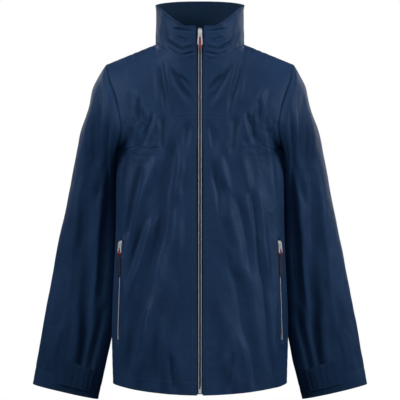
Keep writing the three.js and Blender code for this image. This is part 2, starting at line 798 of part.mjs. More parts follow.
// u goes round the sleeve from its inner edge by the front; v goes up it from cuff to shoulder.
function sleevePoint(u, v) {
  const angle = u * 2 * Math.PI;
  const down = 1 - v;
  const inner = innerEdge.getPoint(down);
  const outer = outerEdge.getPoint(down);
  const power = 2 / sleeve.squareness;
  const middle = inner.clone().lerp(outer, 0.5);
  const reach = inner.clone().sub(middle).multiplyScalar(signedPower(Math.cos(angle), power));
  const halfDepth = lerp(sleeve.shoulderHalfDepth, sleeve.cuffHalfDepth, down ** 0.9);
  const centreY = lerp(torso.shoulderY, sleeve.backset, smoothstep(down, 0, 0.5));
  const oval = new THREE.Vector3(
    middle.x + reach.x,
    centreY - halfDepth * signedPower(Math.sin(angle), power),
    middle.y + reach.y,
  );
  return armholePoint(angle).lerp(oval, smoothstep(down, 0, sleeve.settle));
}

function armholePoint(angle) {
  const z = lerp(-torso.armpitDrop, tipZ, (1 - Math.cos(angle)) / 2);
  const x = armholeX(z);
  const point = bodyPoint(Math.sin(angle) > 0 ? -1 : 1, girthAt(x, z), z);
  point.x += lerp(1, sleeve.armpitStep, (1 + Math.cos(angle)) / 2);
  return point;
}

const cuffShare = (() => {
  const step = 0.01;
  const edge = (v) => sleevePoint(0, v).lerp(sleevePoint(0.5, v), 0.5);
  return step / edge(0).distanceTo(edge(step));
})();
const sleeveSurface = (from, to) => (u, v) => sleevePoint(u, lerp(from, to, v));

function sleevePieces(hand) {
  const top = 1 - 1e-3;
  const facingTop = cuff.facing * cuffShare;
  const facingHem = sleeveSurface(0.001, facingTop);
  const facing = tube(facingHem, 24, 1, -depthOf.facing - cloth.lining, -depthOf.facing);
  const lining = tube(
    sleeveSurface(facingTop, 1 - 0.08),
    24,
    10,
    -depthOf.sleeveLining - cloth.lining,
    -depthOf.sleeveLining,
  );
  return [
    mesh(hand + "_sleeve", tube(sleeveSurface(0, top), 24, 14, -outside, outside), shellCloth()),
    mesh(hand + "_sleeve_lining", lining, liningCloth()),
    mesh(hand + "_cuff_facing", facing, shellCloth()),
  ];
}

// A patch on the front of the cuff between two angles round the sleeve, lifted off its surface.
function cuffPatch(fromAngle, toAngle, insetBy, low, high, lift, columns) {
  const foot = (cuff.tabBottom + insetBy) * cuffShare;
  const head = (cuff.tabBottom + cuff.tabHeight - insetBy) * cuffShare;
  const base = (u, v) => sleevePoint(lerp(fromAngle, toAngle, u) / 360, lerp(foot, head, v));
  const lifted = (u, v) => base(u, v).addScaledVector(normalOf(base, u, v), lift(u));
  return sheet(lifted, columns, 1, low, high);
}

function cuffPieces(hand) {
  const flat = () => 0;
  const loopFoot = outside + fit;
  const hookFoot = loopFoot + cuff.patch + fit;
  const tabFoot = hookFoot + cuff.patch + fit;
  const loop = cuffPatch(tab.loopFrom, tab.loopTo, cuff.patchInset, loopFoot, loopFoot + cuff.patch, flat, 5);
  const hook = cuffPatch(tab.hookFrom, tab.hookTo, cuff.patchInset, hookFoot, hookFoot + cuff.patch, flat, 3);
  const rise = (share) => (tabFoot - loopFoot) * smoothstep(share, 0, 0.3);
  const strap = cuffPatch(tab.anchorAngle, tab.freeAngle, 0, loopFoot, loopFoot + cloth.lining, rise, 8);
  const [around, height] = [tab.anchorAngle / 360, (cuff.tabBottom + cuff.tabHeight / 2) * cuffShare];
  const pivot = sleevePoint(around, height)
    .addScaledVector(normalOf(sleevePoint, around, height), loopFoot + cloth.lining);
  const moved = [
    mesh(hand + "_cuff_tab", strap, shellCloth()),
    mesh(hand + "_hook_patch", hook, hookTape()),
  ];
  for (const piece of moved) {
    piece.geometry.translate(-pivot.x, -pivot.y, -pivot.z);
    piece.position.copy(pivot);
  }
  return [mesh(hand + "_loop_patch", loop, hookTape()), ...moved];
}

// ---- Hanger loop and assembly --------------------------------------------------------------------

const hangerY = torso.napeDepth - hanger.standOff;
const hangerSeat = new THREE.Vector3(0, hangerY, -hanger.drop + hanger.height - hanger.strap);

function hangerLoop() {
  const half = hanger.width / 2;
  const inner = half - hanger.strap;
  const shape = new THREE.Shape();
  shape.moveTo(-half, 0).lineTo(-inner, 0).lineTo(-inner, hanger.height - hanger.strap);
  shape.lineTo(inner, hanger.height - hanger.strap).lineTo(inner, 0).lineTo(half, 0);
  shape.lineTo(half, hanger.height).lineTo(-half, hanger.height).closePath();
  const loop = mesh("hanger_loop", plate(shape, hanger.tape), tapeCloth());
  loop.position.set(0, hangerY, -hanger.drop);
  return loop;
}

function handedPieces(hand) {
  const group = new THREE.Group();
  group.scale.x = hand === "left" ? 1 : -1;
  group.add(frontPanel(hand), frontYoke(hand), frontLining(hand));
  group.add(pocketZip(hand), pocketBag(hand), ...sleevePieces(hand), ...cuffPieces(hand));
  return group;
}

const jacket = new THREE.Group();
jacket.add(backPanel(), backYoke(), backLining(), hemFacing(), ...collarPieces(), mainZip(), hangerLoop());
jacket.add(handedPieces("left"), handedPieces("right"));
jacket.position.copy(hangerSeat).negate();

export default new THREE.Group().add(jacket);
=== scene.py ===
import bpy
import bmesh
import math
import numpy as np
from mathutils import Matrix, Vector


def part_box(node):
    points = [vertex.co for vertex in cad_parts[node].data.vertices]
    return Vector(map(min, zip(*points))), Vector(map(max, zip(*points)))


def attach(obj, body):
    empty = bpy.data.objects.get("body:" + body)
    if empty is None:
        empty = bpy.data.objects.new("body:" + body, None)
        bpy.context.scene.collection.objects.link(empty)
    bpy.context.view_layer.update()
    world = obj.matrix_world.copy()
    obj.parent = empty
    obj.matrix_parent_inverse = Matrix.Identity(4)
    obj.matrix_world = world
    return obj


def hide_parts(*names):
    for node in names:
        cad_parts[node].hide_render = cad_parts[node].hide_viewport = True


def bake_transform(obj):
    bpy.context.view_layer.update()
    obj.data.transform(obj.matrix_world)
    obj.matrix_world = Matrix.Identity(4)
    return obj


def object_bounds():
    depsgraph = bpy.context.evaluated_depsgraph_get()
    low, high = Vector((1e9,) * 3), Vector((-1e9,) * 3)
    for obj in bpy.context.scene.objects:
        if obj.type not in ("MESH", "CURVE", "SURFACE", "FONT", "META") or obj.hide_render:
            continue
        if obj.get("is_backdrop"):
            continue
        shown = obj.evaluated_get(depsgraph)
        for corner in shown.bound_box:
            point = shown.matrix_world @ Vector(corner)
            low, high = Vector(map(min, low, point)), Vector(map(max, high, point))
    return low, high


# a foul weather jacket: cloth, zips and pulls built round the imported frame
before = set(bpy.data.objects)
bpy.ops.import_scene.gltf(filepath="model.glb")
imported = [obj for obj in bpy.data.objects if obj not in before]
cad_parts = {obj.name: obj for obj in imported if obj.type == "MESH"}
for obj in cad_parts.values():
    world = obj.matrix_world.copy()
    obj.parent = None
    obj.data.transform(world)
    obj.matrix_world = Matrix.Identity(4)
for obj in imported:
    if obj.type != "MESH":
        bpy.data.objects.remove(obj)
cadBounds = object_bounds()
print("frame loaded")

mm = 0.001
fine = 1.0  # share of the full mesh density

# sizes in millimetres; heights are measured from the neck point
torso = dict(chestHalf=174, hipHalf=182.5, hemHalf=180.4, waistDrop=350, hipDrop=607, hemSideDrop=705,
             hemFrontDrop=721, armpitDrop=219, napeDepth=75, backDepth=104, bladeDrop=180,
             shoulderY=-8, sideY=-30, squareness=2.4)
shoulder = dict(half=196, slope=22.3, crown=150, crownPower=2.2, neckRise=140)
armhole = dict(dip=16, bias=0.6, stump=56, stumpRise=60)
yoke = dict(centreDrop=162, outerDrop=168)
collar = dict(half=92, frontY=-85, centreY=-5, neckDrop=40, napeDrop=15, frontTop=30, lapelTop=70,
              sideTop=82.6, backTop=100.5, flatAngle=16.5, lapelAngle=58)
zipper = dict(slope=35 / 751, endGap=4, coilGap=1.7, coilWidth=1.9, coilHeight=1.5, toothPitch=2.0)
pocket = dict(topX=163, topDrop=408, footX=169.6, footDrop=617)
sleeve = dict(inner=[[178, -221], [179, -262], [178, -320], [175, -400], [176, -500], [186, -610], [216.6, -746.7]],
              outer=[[197, -43], [222, -88], [248, -165], [270, -270], [293, -390], [320, -530], [353.8, -715]],
              shoulderDepth=84, cuffDepth=24, backset=30, squareness=2.3, settle=0.16, headInset=1.2)
cuff = dict(tabBottom=13, tabHeight=30, anchor=46, free=106, loopFrom=66, loopEnd=103, hookFrom=84, hookTo=102)
hanger = dict(width=64, height=22, drop=16, inset=22)
hangerY = torso["napeDepth"] - hanger["inset"]

hangerLow, hangerHigh = [Vector(c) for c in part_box("hanger_loop")]
# from the neck point's frame to the scene's, in metres
shift = np.array([0, (hangerLow.y + hangerHigh.y) / 2 - hangerY * mm, hangerLow.z + hanger["drop"] * mm])


def smooth(x, low, high):
    t = np.clip((x - low) / (high - low), 0, 1)
    return t * t * (3 - 2 * t)


def signedPower(x, power):
    return np.sign(x) * np.abs(x) ** power


# the body's surface, as in the frame
def centreFrontY(z):
    return collar["frontY"] + (z - collar["frontTop"]) * zipper["slope"]


def centreBackY(z):
    deeper = torso["backDepth"] - torso["napeDepth"]
    return torso["napeDepth"] + deeper * smooth(-z, collar["napeDrop"], torso["bladeDrop"])


def middleY(z):
    further = torso["sideY"] - torso["shoulderY"]
    return torso["shoulderY"] + further * smooth(-z, torso["armpitDrop"], torso["waistDrop"])


def halfWidth(z):
    stump = np.clip((z + torso["armpitDrop"]) / armhole["stumpRise"], 0, 1) ** 0.6
    hip = smooth(-z, torso["waistDrop"], torso["hipDrop"])
    draw = smooth(-z, torso["hipDrop"], torso["hemSideDrop"])
    return (torso["chestHalf"] + armhole["stump"] * stump + (torso["hipHalf"] - torso["chestHalf"]) * hip
            - (torso["hipHalf"] - torso["hemHalf"]) * draw)


def ridgeZ(x):
    out = np.abs(x) - collar["half"]
    fall = -out * math.tan(math.radians(shoulder["slope"]))
    return np.where(out > 0, fall, -out / collar["half"] * shoulder["neckRise"])


def crown(x, z):
    below = np.clip((ridgeZ(x) - z) / shoulder["crown"], 0, 1)
    return (1 - (1 - below) ** shoulder["crownPower"]) ** (1 / shoulder["crownPower"])


def bodyPoint(front, girth, z):
    power = 2 / torso["squareness"]
    x = halfWidth(z) * signedPower(np.sin(girth), power)
    centre = centreFrontY(z) if front < 0 else centreBackY(z)
    reach = (centre - middleY(z)) * np.abs(np.cos(girth)) ** power * crown(x, z)
    return np.stack([x, middleY(z) + reach, z], axis=-1)


def girthAt(x, z):
    share = np.minimum(1, np.abs(x) / halfWidth(z)) ** (torso["squareness"] / 2)
    return np.sign(x) * np.arcsin(share)


tipZ = float(ridgeZ(shoulder["half"]))
easing = dict(reach=60, over=50, samples=9, narrowing=2)  # how far up and down the armpit's crease is spread


def armholeX(z):
    rise = np.clip((z + torso["armpitDrop"]) / (tipZ + torso["armpitDrop"]), 0, 1)
    dip = np.sin(np.pi * rise ** armhole["bias"]) ** 2
    return torso["chestHalf"] + (shoulder["half"] - torso["chestHalf"]) * rise - armhole["dip"] * dip


def edgeGirth(z):
    return np.where(z > -torso["armpitDrop"], girthAt(armholeX(z), z), np.pi / 2)


def neckZ(x, drop):
    return -drop * (1 - (x / collar["half"]) ** 2)


def matched(*values):
    return np.broadcast_arrays(*[np.asarray(value, float) for value in values])


def pair(x, z):
    return np.stack(matched(x, z), axis=-1)


def spot(x, z):  # pattern plane: share of the girth across, height upwards
    return pair(girthAt(x, z) / edgeGirth(z), z)


def line(start, end):
    return lambda t: start + (end - start) * t[..., None]


def chain(first, second, kink):
    def both(t):
        early = first(np.clip(t / kink, 0, 1))
        late = second(np.clip((t - kink) / (1 - kink), 0, 1))
        return np.where((t <= kink)[..., None], early, late)
    return both


def coons(bottom, top, left, right):
    zero, one = np.zeros(1), np.ones(1)
    def at(u, v):
        u1, v1 = u[..., None], v[..., None]
        low, high = bottom(zero) * (1 - u1) + bottom(one) * u1, top(zero) * (1 - u1) + top(one) * u1
        corners = low * (1 - v1) + high * v1
        return left(v) * (1 - u1) + right(v) * u1 + bottom(u) * (1 - v1) + top(u) * v1 - corners
    return at


def bodySurface(front, patch):  # the crease at armpit height is eased out away from the armhole
    def place(u, v):
        at = patch(u, v)
        z = at[..., 1]
        x = bodyPoint(front, at[..., 0] * edgeGirth(z), z)[..., 0]
        return np.stack([x, bodyDepth(front, x, z), z], axis=-1)

    def normal(points):
        x, z, step = points[..., 0], points[..., 2], 0.5
        widest = halfWidth(z)
        more, less = np.minimum(x + step, widest), np.maximum(x - step, -widest)
        acrossSlope = (bodyDepth(front, more, z) - bodyDepth(front, less, z)) / (more - less)
        upSlope = (bodyDepth(front, x, z + step) - bodyDepth(front, x, z - step)) / (2 * step)
        out = front * np.stack([-acrossSlope, 1 + 0 * x, -upSlope], axis=-1)
        return out / np.linalg.norm(out, axis=-1, keepdims=True)

    place.normal = normal
    return place


def bodyDepth(front, x, z):
    power = 2 / torso["squareness"]
    edge = np.where(z > -torso["armpitDrop"], armholeX(z), halfWidth(z))
    reach = easing["reach"] * smooth(edge - np.abs(x), 0, easing["over"])
    bulge, weights = np.zeros(x.shape), 0.0
    for step in np.linspace(-1, 1, easing["samples"]):
        weight = math.exp(-easing["narrowing"] * step ** 2)
        near = z + step * reach
        bulge += weight * np.abs(np.cos(girthAt(np.minimum(np.abs(x), halfWidth(near)), near))) ** power
        weights += weight
    centre = centreFrontY(z) if front < 0 else centreBackY(z)
    return middleY(z) + (centre - middleY(z)) * bulge / weights * crown(x, z)


def sideLine(low, high, hand):
    return line(pair(hand, low), pair(hand, high))


def neckEdge(x0, x1, drop):
    return lambda t: spot(x0 + (x1 - x0) * t, neckZ(x0 + (x1 - x0) * t, drop))


def shoulderEdge(x0, x1):
    return lambda t: spot(x0 + (x1 - x0) * t, ridgeZ(x0 + (x1 - x0) * t))


neckPoint = collar["half"] + 0.001
yokeCorner = pair(1, -yoke["outerDrop"])


def hemFrontZ(x):
    return -(torso["hemFrontDrop"] + (torso["hemSideDrop"] - torso["hemFrontDrop"]) * (x / torso["hemHalf"]) ** 2)


def frontPanelPatch(edgeX):
    def bottom(t):
        x = edgeX + (torso["hemHalf"] - edgeX) * np.sin(t * np.pi / 2) ** 0.8
        z = hemFrontZ(x)
        start = spot(edgeX, z)[..., 0]
        return pair(start + (1 - start) * t, z)
    return coons(bottom, line(spot(edgeX, -yoke["centreDrop"]), yokeCorner),
                 line(spot(edgeX, hemFrontZ(edgeX)), spot(edgeX, -yoke["centreDrop"])),
                 sideLine(-torso["hemSideDrop"], -yoke["outerDrop"], 1))


def frontYokePatch(edgeX):
    return coons(line(spot(edgeX, -yoke["centreDrop"]), yokeCorner), shoulderEdge(neckPoint, shoulder["half"]),
                 chain(line(spot(edgeX, -yoke["centreDrop"]), spot(edgeX, neckZ(edgeX, collar["neckDrop"]))),
                       neckEdge(edgeX, collar["half"], collar["neckDrop"]), 0.5),
                 sideLine(-yoke["outerDrop"], tipZ, 1))


def levelEdge(z, reach=1):
    return line(pair(reach, z), pair(-reach, z))


backTop = chain(shoulderEdge(shoulder["half"], neckPoint),
                chain(neckEdge(collar["half"], -collar["half"], collar["napeDrop"]),
                      shoulderEdge(-neckPoint, -shoulder["half"]), 0.5), 1 / 3)
backPanelPatch = coons(levelEdge(-torso["hemSideDrop"]), levelEdge(-yoke["outerDrop"]),
                       sideLine(-torso["hemSideDrop"], -yoke["outerDrop"], 1),
                       sideLine(-torso["hemSideDrop"], -yoke["outerDrop"], -1))
backYokePatch = coons(levelEdge(-yoke["outerDrop"]), backTop,
                      sideLine(-yoke["outerDrop"], tipZ, 1), sideLine(-yoke["outerDrop"], tipZ, -1))


# sleeve and collar surfaces
def spline(points, t):
    knots = np.array(points, float)
    count = len(knots) - 1
    at = np.clip(t, 0, 1) * count
    i = np.minimum(np.floor(at).astype(int), count - 1)
    w = (at - i)[..., None]
    p0 = knots[np.where(i == 0, i, i - 1)]
    p1, p2 = knots[i], knots[i + 1]
    p3 = knots[np.where(i > count - 2, count, i + 2)]
    v0, v1 = (p2 - p0) / 2, (p3 - p1) / 2
    return (2 * p1 - 2 * p2 + v0 + v1) * w ** 3 + (-3 * p1 + 3 * p2 - 2 * v0 - v1) * w ** 2 + v0 * w + p1


def sleevePoint(u, v):
    angle = u * 2 * np.pi
    down = 1 - v
    inner, outer = spline(sleeve["inner"], down), spline(sleeve["outer"], down)
    power = 2 / sleeve["squareness"]
    middle = (inner + outer) / 2
    reach = (inner - middle) * signedPower(np.cos(angle), power)[..., None]
    depth = sleeve["shoulderDepth"] + (sleeve["cuffDepth"] - sleeve["shoulderDepth"]) * down ** 0.9
    centreY = torso["shoulderY"] + (sleeve["backset"] - torso["shoulderY"]) * smooth(down, 0, 0.5)
    oval = np.stack([middle[..., 0] + reach[..., 0], centreY - depth * signedPower(np.sin(angle), power),
                     middle[..., 1] + reach[..., 1]], axis=-1)
    z = -torso["armpitDrop"] + (tipZ + torso["armpitDrop"]) * (1 - np.cos(angle)) / 2
    x = armholeX(z)
    girth = girthAt(x, z)
    hole = np.where((np.sin(angle) > 0)[..., None], bodyPoint(-1, girth, z), bodyPoint(1, girth, z))
    hole[..., 0] -= sleeve["headInset"]  # the sleeve head starts just under the edge of the body
    w = smooth(down, 0, sleeve["settle"])[..., None]
    return hole * (1 - w) + oval * w


def collarTopZ(angle):
    turn = np.degrees(np.minimum(angle, 2 * np.pi - angle))
    flat, lapel = collar["flatAngle"], collar["lapelAngle"]
    tops = [collar[name] for name in ("frontTop", "frontTop", "lapelTop", "sideTop")]
    height = np.interp(turn, [0, flat, lapel, 90], tops)
    back = tops[3] + (collar["backTop"] - tops[3]) * np.sin(np.radians(np.maximum(turn - 90, 0)))
    return np.where(turn > 90, back, height)


def collarPoint(angle, v):
    x = collar["half"] * np.sin(angle)
    onFront = np.cos(angle) > 0
    footZ = neckZ(x, np.where(onFront, collar["neckDrop"], collar["napeDrop"]))
    girth = girthAt(x, footZ)
    foot = np.where(onFront[..., None], bodyPoint(-1, girth, footZ), bodyPoint(1, girth, footZ))
    power = 2 / torso["squareness"]
    depth = collar["centreY"] - collar["frontY"]
    top = np.stack([collar["half"] * signedPower(np.sin(angle), power),
                    collar["centreY"] - depth * signedPower(np.cos(angle), power), collarTopZ(angle)], axis=-1)
    return foot + (top - foot) * v[..., None]


def collarSurface(edgeX, base=0.0):
    start = math.asin(edgeX / collar["half"])
    return lambda u, v: collarPoint(start + (2 * np.pi - 2 * start) * u, base + (1 - base) * v)


# folds: each stroke is a crease or a ridge between two places seen from the front
# x, z at its start and end, half width, depth; a negative depth is a crease, a positive one a ridge
rightFrontFolds = [
    (-81, -44, -66, -136, 8, -2.1), (-60, -56, -16, -128, 8, -2.0), (-38, -72, -14, -104, 5, -1.6),
    (-121, -118, -122, -163, 7, -1.5), (-128, -100, -112, -150, 9, 1.8), (-118, -166, -116, -196, 7, -0.8),
    (-96, -150, -112, -205, 6, -1.4), (-84, -236, -112, -320, 10, 1.4), (-138, -180, -142, -212, 9, -0.9),
    (-105, -268, -148, -470, 12, 3.0), (-120, -262, -150, -420, 8, -2.4), (-74, -160, -73, -230, 10, -2.2),
    (-30, -214, -50, -330, 14, 3.0), (-52, -220, -88, -420, 18, -3.6), (-58, -330, -146, -676, 16, -3.6),
    (-80, -340, -160, -560, 11, 2.4), (-34, -340, -70, -640, 20, 2.6), (-20, -170, -32, -240, 10, -2.4),
    (-104, -520, -120, -690, 14, 2.2), (-58, -640, -50, -715, 8, -1.8), (-88, -600, -84, -700, 10, -1.6),
    (-150, -190, -168, -330, 9, -2.2), (-158, -470, -150, -640, 9, 1.8), (-12, -420, -22, -700, 12, -1.8),
]
leftFrontFolds = [
    (82, -44, 61, -136, 8, -2.1), (60, -56, 17, -128, 8, -2.0), (40, -74, 16, -104, 5, -1.6),
    (118, -118, 119, -163, 7, -1.5), (128, -98, 110, -150, 9, 1.8), (112, -168, 106, -205, 8, -0.8),
    (96, -150, 112, -205, 7, -1.4), (84, -236, 106, -320, 10, 1.4), (138, -180, 146, -214, 9, -0.9),
    (116, -337, 155, -690, 12, 3.2), (104, -300, 136, -560, 10, -2.8), (70, -160, 66, -236, 10, -2.0),
    (39, -325, 76, -507, 14, 3.2), (24, -250, 60, -440, 12, -3.2), (60, -430, 110, -690, 16, -3.2),
    (30, -214, 46, -300, 12, 2.4), (80, -330, 104, -470, 12, -2.2), (18, -170, 30, -236, 10, -2.4),
    (36, -520, 60, -700, 16, 2.2), (64, -640, 56, -714, 8, -1.6), (92, -610, 96, -700, 9, 1.4),
    (150, -190, 168, -320, 9, -2.2), (160, -450, 152, -640, 9, 1.8), (14, -440, 20, -700, 12, -1.6),
]
backFolds = [
    (0, -60, 0, -250, 16, -2.0), (-60, -70, -90, -240, 12, -2.6), (66, -74, 88, -250, 12, -2.6),
    (-150, -180, -110, -330, 12, -3.0), (150, -180, 108, -340, 12, -3.0), (-60, -250, -110, -640, 18, 3.0),
    (54, -260, 96, -650, 18, 3.0), (-20, -300, -40, -690, 18, -3.0), (26, -280, 34, -680, 16, -2.6),
    (-120, -350, -140, -690, 14, -2.8), (118, -360, 142, -690, 14, -2.8), (0, -380, 8, -690, 14, 2.2),
    (-90, -480, -80, -700, 12, -1.8), (86, -500, 76, -700, 12, -1.8), (-158, -240, -150, -420, 10, -2.2),
    (158, -240, 150, -420, 10, -2.2),
]
sleeveFolds = [
    (210, -72, 212, -262, 17, -5.2), (222, -80, 230, -240, 14, 3.4), (186, -150, 192, -330, 9, -3.0),
    (232, -180, 236, -420, 16, -2.4), (205, -320, 226, -560, 14, 3.2), (190, -330, 206, -520, 9, -3.2),
    (252, -300, 284, -560, 16, 2.4), (222, -440, 250, -690, 13, -2.8), (270, -420, 306, -680, 18, -1.8),
    (246, -560, 262, -700, 12, 2.0), (292, -590, 318, -700, 12, 1.6), (204, -560, 232, -700, 9, -2.4),
    (196, -250, 216, -330, 9, -1.6),
]


# widths are multiples of a fold's own half width, gains multiply its depth
foldShape = dict(widthShare=0.82, wander=0.12, steepFlank=0.6, slackFlank=1.3, shoulder=0.4, shoulderAt=1.9,
                 shoulderWidth=1.1, creaseGain=1.5, ridgeGain=1.25)


def foldLift(points, folds, mirror=1):
    steep, slack, shoulderAt = foldShape["steepFlank"], foldShape["slackFlank"], foldShape["shoulderAt"]
    lift = np.zeros(points.shape[:-1])
    x, z = points[..., 0] * mirror, points[..., 2]
    for x0, z0, x1, z1, width, depth in folds:
        width = width * foldShape["widthShare"]
        dx, dz = x1 - x0, z1 - z0
        length = math.hypot(dx, dz)
        along = ((x - x0) * dx + (z - z0) * dz) / length
        side = ((x - x0) * dz - (z - z0) * dx) / length
        side = side + foldShape["wander"] * width * np.sin(along * 0.05 + x0)
        ends = smooth(along, -0.15 * length, 0.25 * length) * (1 - smooth(along, 0.7 * length, 1.2 * length))
        flank = width * np.where(side * math.copysign(1, x0 + 0.5) > 0, steep, slack)
        beside = (np.abs(side) - shoulderAt * width) / (foldShape["shoulderWidth"] * width)
        crease = np.exp(-(side / flank) ** 2) - foldShape["shoulder"] * np.exp(-beside ** 2)
        lift += depth * foldShape["creaseGain" if depth < 0 else "ridgeGain"] * ends * crease
    return lift


driftLayers = ((150, 1.0), (70, 0.55), (34, 0.24), (17, 0.10))  # wavelength, height


def drift(points, seed):  # slow unevenness of hung cloth, in millimetres
    x, z = points[..., 0], points[..., 2]
    rng = np.random.default_rng(seed)
    total = np.zeros(x.shape)
    for scale, size in driftLayers:
        for _ in range(3):
            a, p, q = rng.uniform(-0.7, 0.7), rng.uniform(0, 6.3), rng.uniform(0, 6.3)
            total += size * np.sin((x * math.cos(a) + z * math.sin(a) * 0.5) * 2 * np.pi / scale + p
                                   + 1.3 * np.sin(z * 2 * np.pi / (scale * 2.7) + q))
    return total * 0.5


def awayFrom(edge, u, v, wide, high):  # edges are named by letters: left, right, bottom, top
    return {"l": u * wide, "r": (1 - u) * wide, "b": v * high, "t": (1 - v) * high}[edge]


seam = dict(rollWidth=1.6, uprightRoll=0.35, levelRoll=0.3, uprightPucker=0.2, pitch=19, at=5, reach=9)


def seamLift(u, v, wide, high, edges, roll, pucker=0.6):  # the cloth rolls down and puckers at a sewn edge
    lift = np.zeros(u.shape)
    for edge in edges:
        away = awayFrom(edge, u, v, wide, high)
        upright = edge in "lr"
        run = (v * high) if upright else (u * wide)
        lift -= roll * seam["uprightRoll" if upright else "levelRoll"] * np.exp(-(away / seam["rollWidth"]) ** 2)
        ripple = np.sin(run * 2 * np.pi / seam["pitch"] + 2 * np.sin(run / 31)) * (0.6 + 0.4 * np.sin(run / 47))
        share = seam["uprightPucker"] if upright else 1
        lift += pucker * share * ripple * np.exp(-((away - seam["at"]) / seam["reach"]) ** 2)
    return lift


# mesh makers
def metres(points):
    return points * mm + shift


def surfaceNormal(place, u, v, closed=False):
    if hasattr(place, "normal"):
        return place.normal(place(u, v))
    step = 1e-3
    if closed:
        along = place((u + step) % 1, v) - place((u - step) % 1, v)
    else:
        along = place(np.minimum(u + step, 1), v) - place(np.maximum(u - step, 0), v)
    up = place(u, np.minimum(v + step, 1)) - place(u, np.maximum(v - step, 0))
    normal = np.cross(along, up)
    return normal / np.maximum(np.linalg.norm(normal, axis=-1, keepdims=True), 1e-9)


def newObject(name, mesh, material):
    thing = bpy.data.objects.new(name, mesh)
    bpy.context.collection.objects.link(thing)
    mesh.materials.append(material)
    return thing


def meshPiece(name, bm, material, smoothShade=True):
    mesh = bpy.data.meshes.new(name)
    bm.to_mesh(mesh)
    bm.free()
    if smoothShade:
        mesh.polygons.foreach_set("use_smooth", [True] * len(mesh.polygons))
    return newObject(name, mesh, material)


def makeSheet(name, place, lift, columns, rows, material, thickness=0.7, closed=False, mirror=1):
    columns, rows = max(4, int(columns * fine)), max(1, int(rows * fine))
    bm = bmesh.new()
    bmesh.ops.create_grid(bm, x_segments=columns, y_segments=rows, size=0.5)
    uvLayer = bm.loops.layers.uv.new("cloth")
    bm.verts.ensure_lookup_table()
    flat = np.array([vert.co[:2] for vert in bm.verts]) + 0.5
    u, v = np.clip(flat[:, 0], 0, 1), np.clip(flat[:, 1], 0, 1)
    around = u % 1 if closed else u
    base = place(around, v)
    points = base + surfaceNormal(place, around, v, closed) * np.broadcast_to(lift(around, v, base), u.shape)[:, None]
    wide, high = gridSize(base, u, v, columns, rows)
    for face in bm.faces:
        for loop in face.loops:
            i = loop.vert.index
            loop[uvLayer].uv = (u[i] * wide * mm, v[i] * high * mm)
    places = metres(points)
    if mirror < 0:
        places[:, 0] *= -1
    for i, vert in enumerate(bm.verts):
        vert.co = places[i]
    if closed:
        bmesh.ops.remove_doubles(bm, verts=bm.verts, dist=1e-6)
    if mirror < 0:
        bmesh.ops.reverse_faces(bm, faces=bm.faces)
    area = sum(face.calc_area() for face in bm.faces)
    for edge in bm.edges:  # the cut edges of the cloth stay crisp
        edge.smooth = not edge.is_boundary
    thing = meshPiece(name, bm, material)
    if thickness:
        solid = thing.modifiers.new("thickness", "SOLIDIFY")
        solid.thickness = thickness * mm
        solid.offset = -1
    thing["flatWide"], thing["flatHigh"], thing["flatArea"] = wide * mm, high * mm, area
    return thing


def gridSize(base, u, v, columns, rows):
    order = np.lexsort((np.round(u, 6), np.round(v, 6)))
    grid = base[order].reshape(rows + 1, columns + 1, 3)
    wide = np.linalg.norm(np.diff(grid, axis=1), axis=2).sum(axis=1).max()
    high = np.linalg.norm(np.diff(grid, axis=0), axis=2).sum(axis=0).max()
    return wide, high


print("surfaces ready")


# materials
def toLinear(hexColour):
    parts = [int(hexColour[i:i + 2], 16) / 255 for i in (1, 3, 5)]
    return [p / 12.92 if p <= 0.04045 else ((p + 0.055) / 1.055) ** 2.4 for p in parts] + [1.0]


def addNode(tree, kind, settings=None, links=None):
    node = tree.nodes.new(kind)
    for key, value in (settings or {}).items():
        if isinstance(key, int) or key in node.inputs:
            node.inputs[key].default_value = value
        else:
            setattr(node, key, value)
    for key, source in (links or {}).items():
        tree.links.new(source, node.inputs[key])
    return node


def startMaterial(name):
    material = bpy.data.materials.new(name)
    material.use_nodes = True
    tree = material.node_tree
    tree.nodes.clear()
    return material, tree


def noise(tree, place, scale, detail, **more):
    settings = {"Scale": scale, "Detail": detail, **more}
    return addNode(tree, "ShaderNodeTexNoise", settings, {"Vector": place}).outputs["Fac"]


def mathNode(tree, operation, factor, first, second):
    settings = {"operation": operation, **({1: factor} if factor else {})}
    return addNode(tree, "ShaderNodeMath", settings, {0: first, (2 if factor else 1): second}).outputs["Value"]


def between(tree, shade, light, share):
    colour = addNode(tree, "ShaderNodeMix", {"data_type": "RGBA"}, {0: share})
    colour.inputs[6].default_value, colour.inputs[7].default_value = toLinear(shade), toLinear(light)
    return colour.outputs[2]


def spread(tree, low, high, share):
    return addNode(tree, "ShaderNodeMapRange", {"To Min": low, "To Max": high}, {"Value": share}).outputs["Result"]


def raised(tree, strength, distance, height, **links):
    return addNode(tree, "ShaderNodeBump", {"Strength": strength, "Distance": distance},
                   {"Height": height, **links}).outputs["Normal"]


def surfaceOf(tree, settings, colour, roughness, normal):
    shader = addNode(tree, "ShaderNodeBsdfPrincipled", settings,
                     {"Base Color": colour, "Roughness": roughness, "Normal": normal})
    addNode(tree, "ShaderNodeOutputMaterial", {}, {"Surface": shader.outputs["BSDF"]})


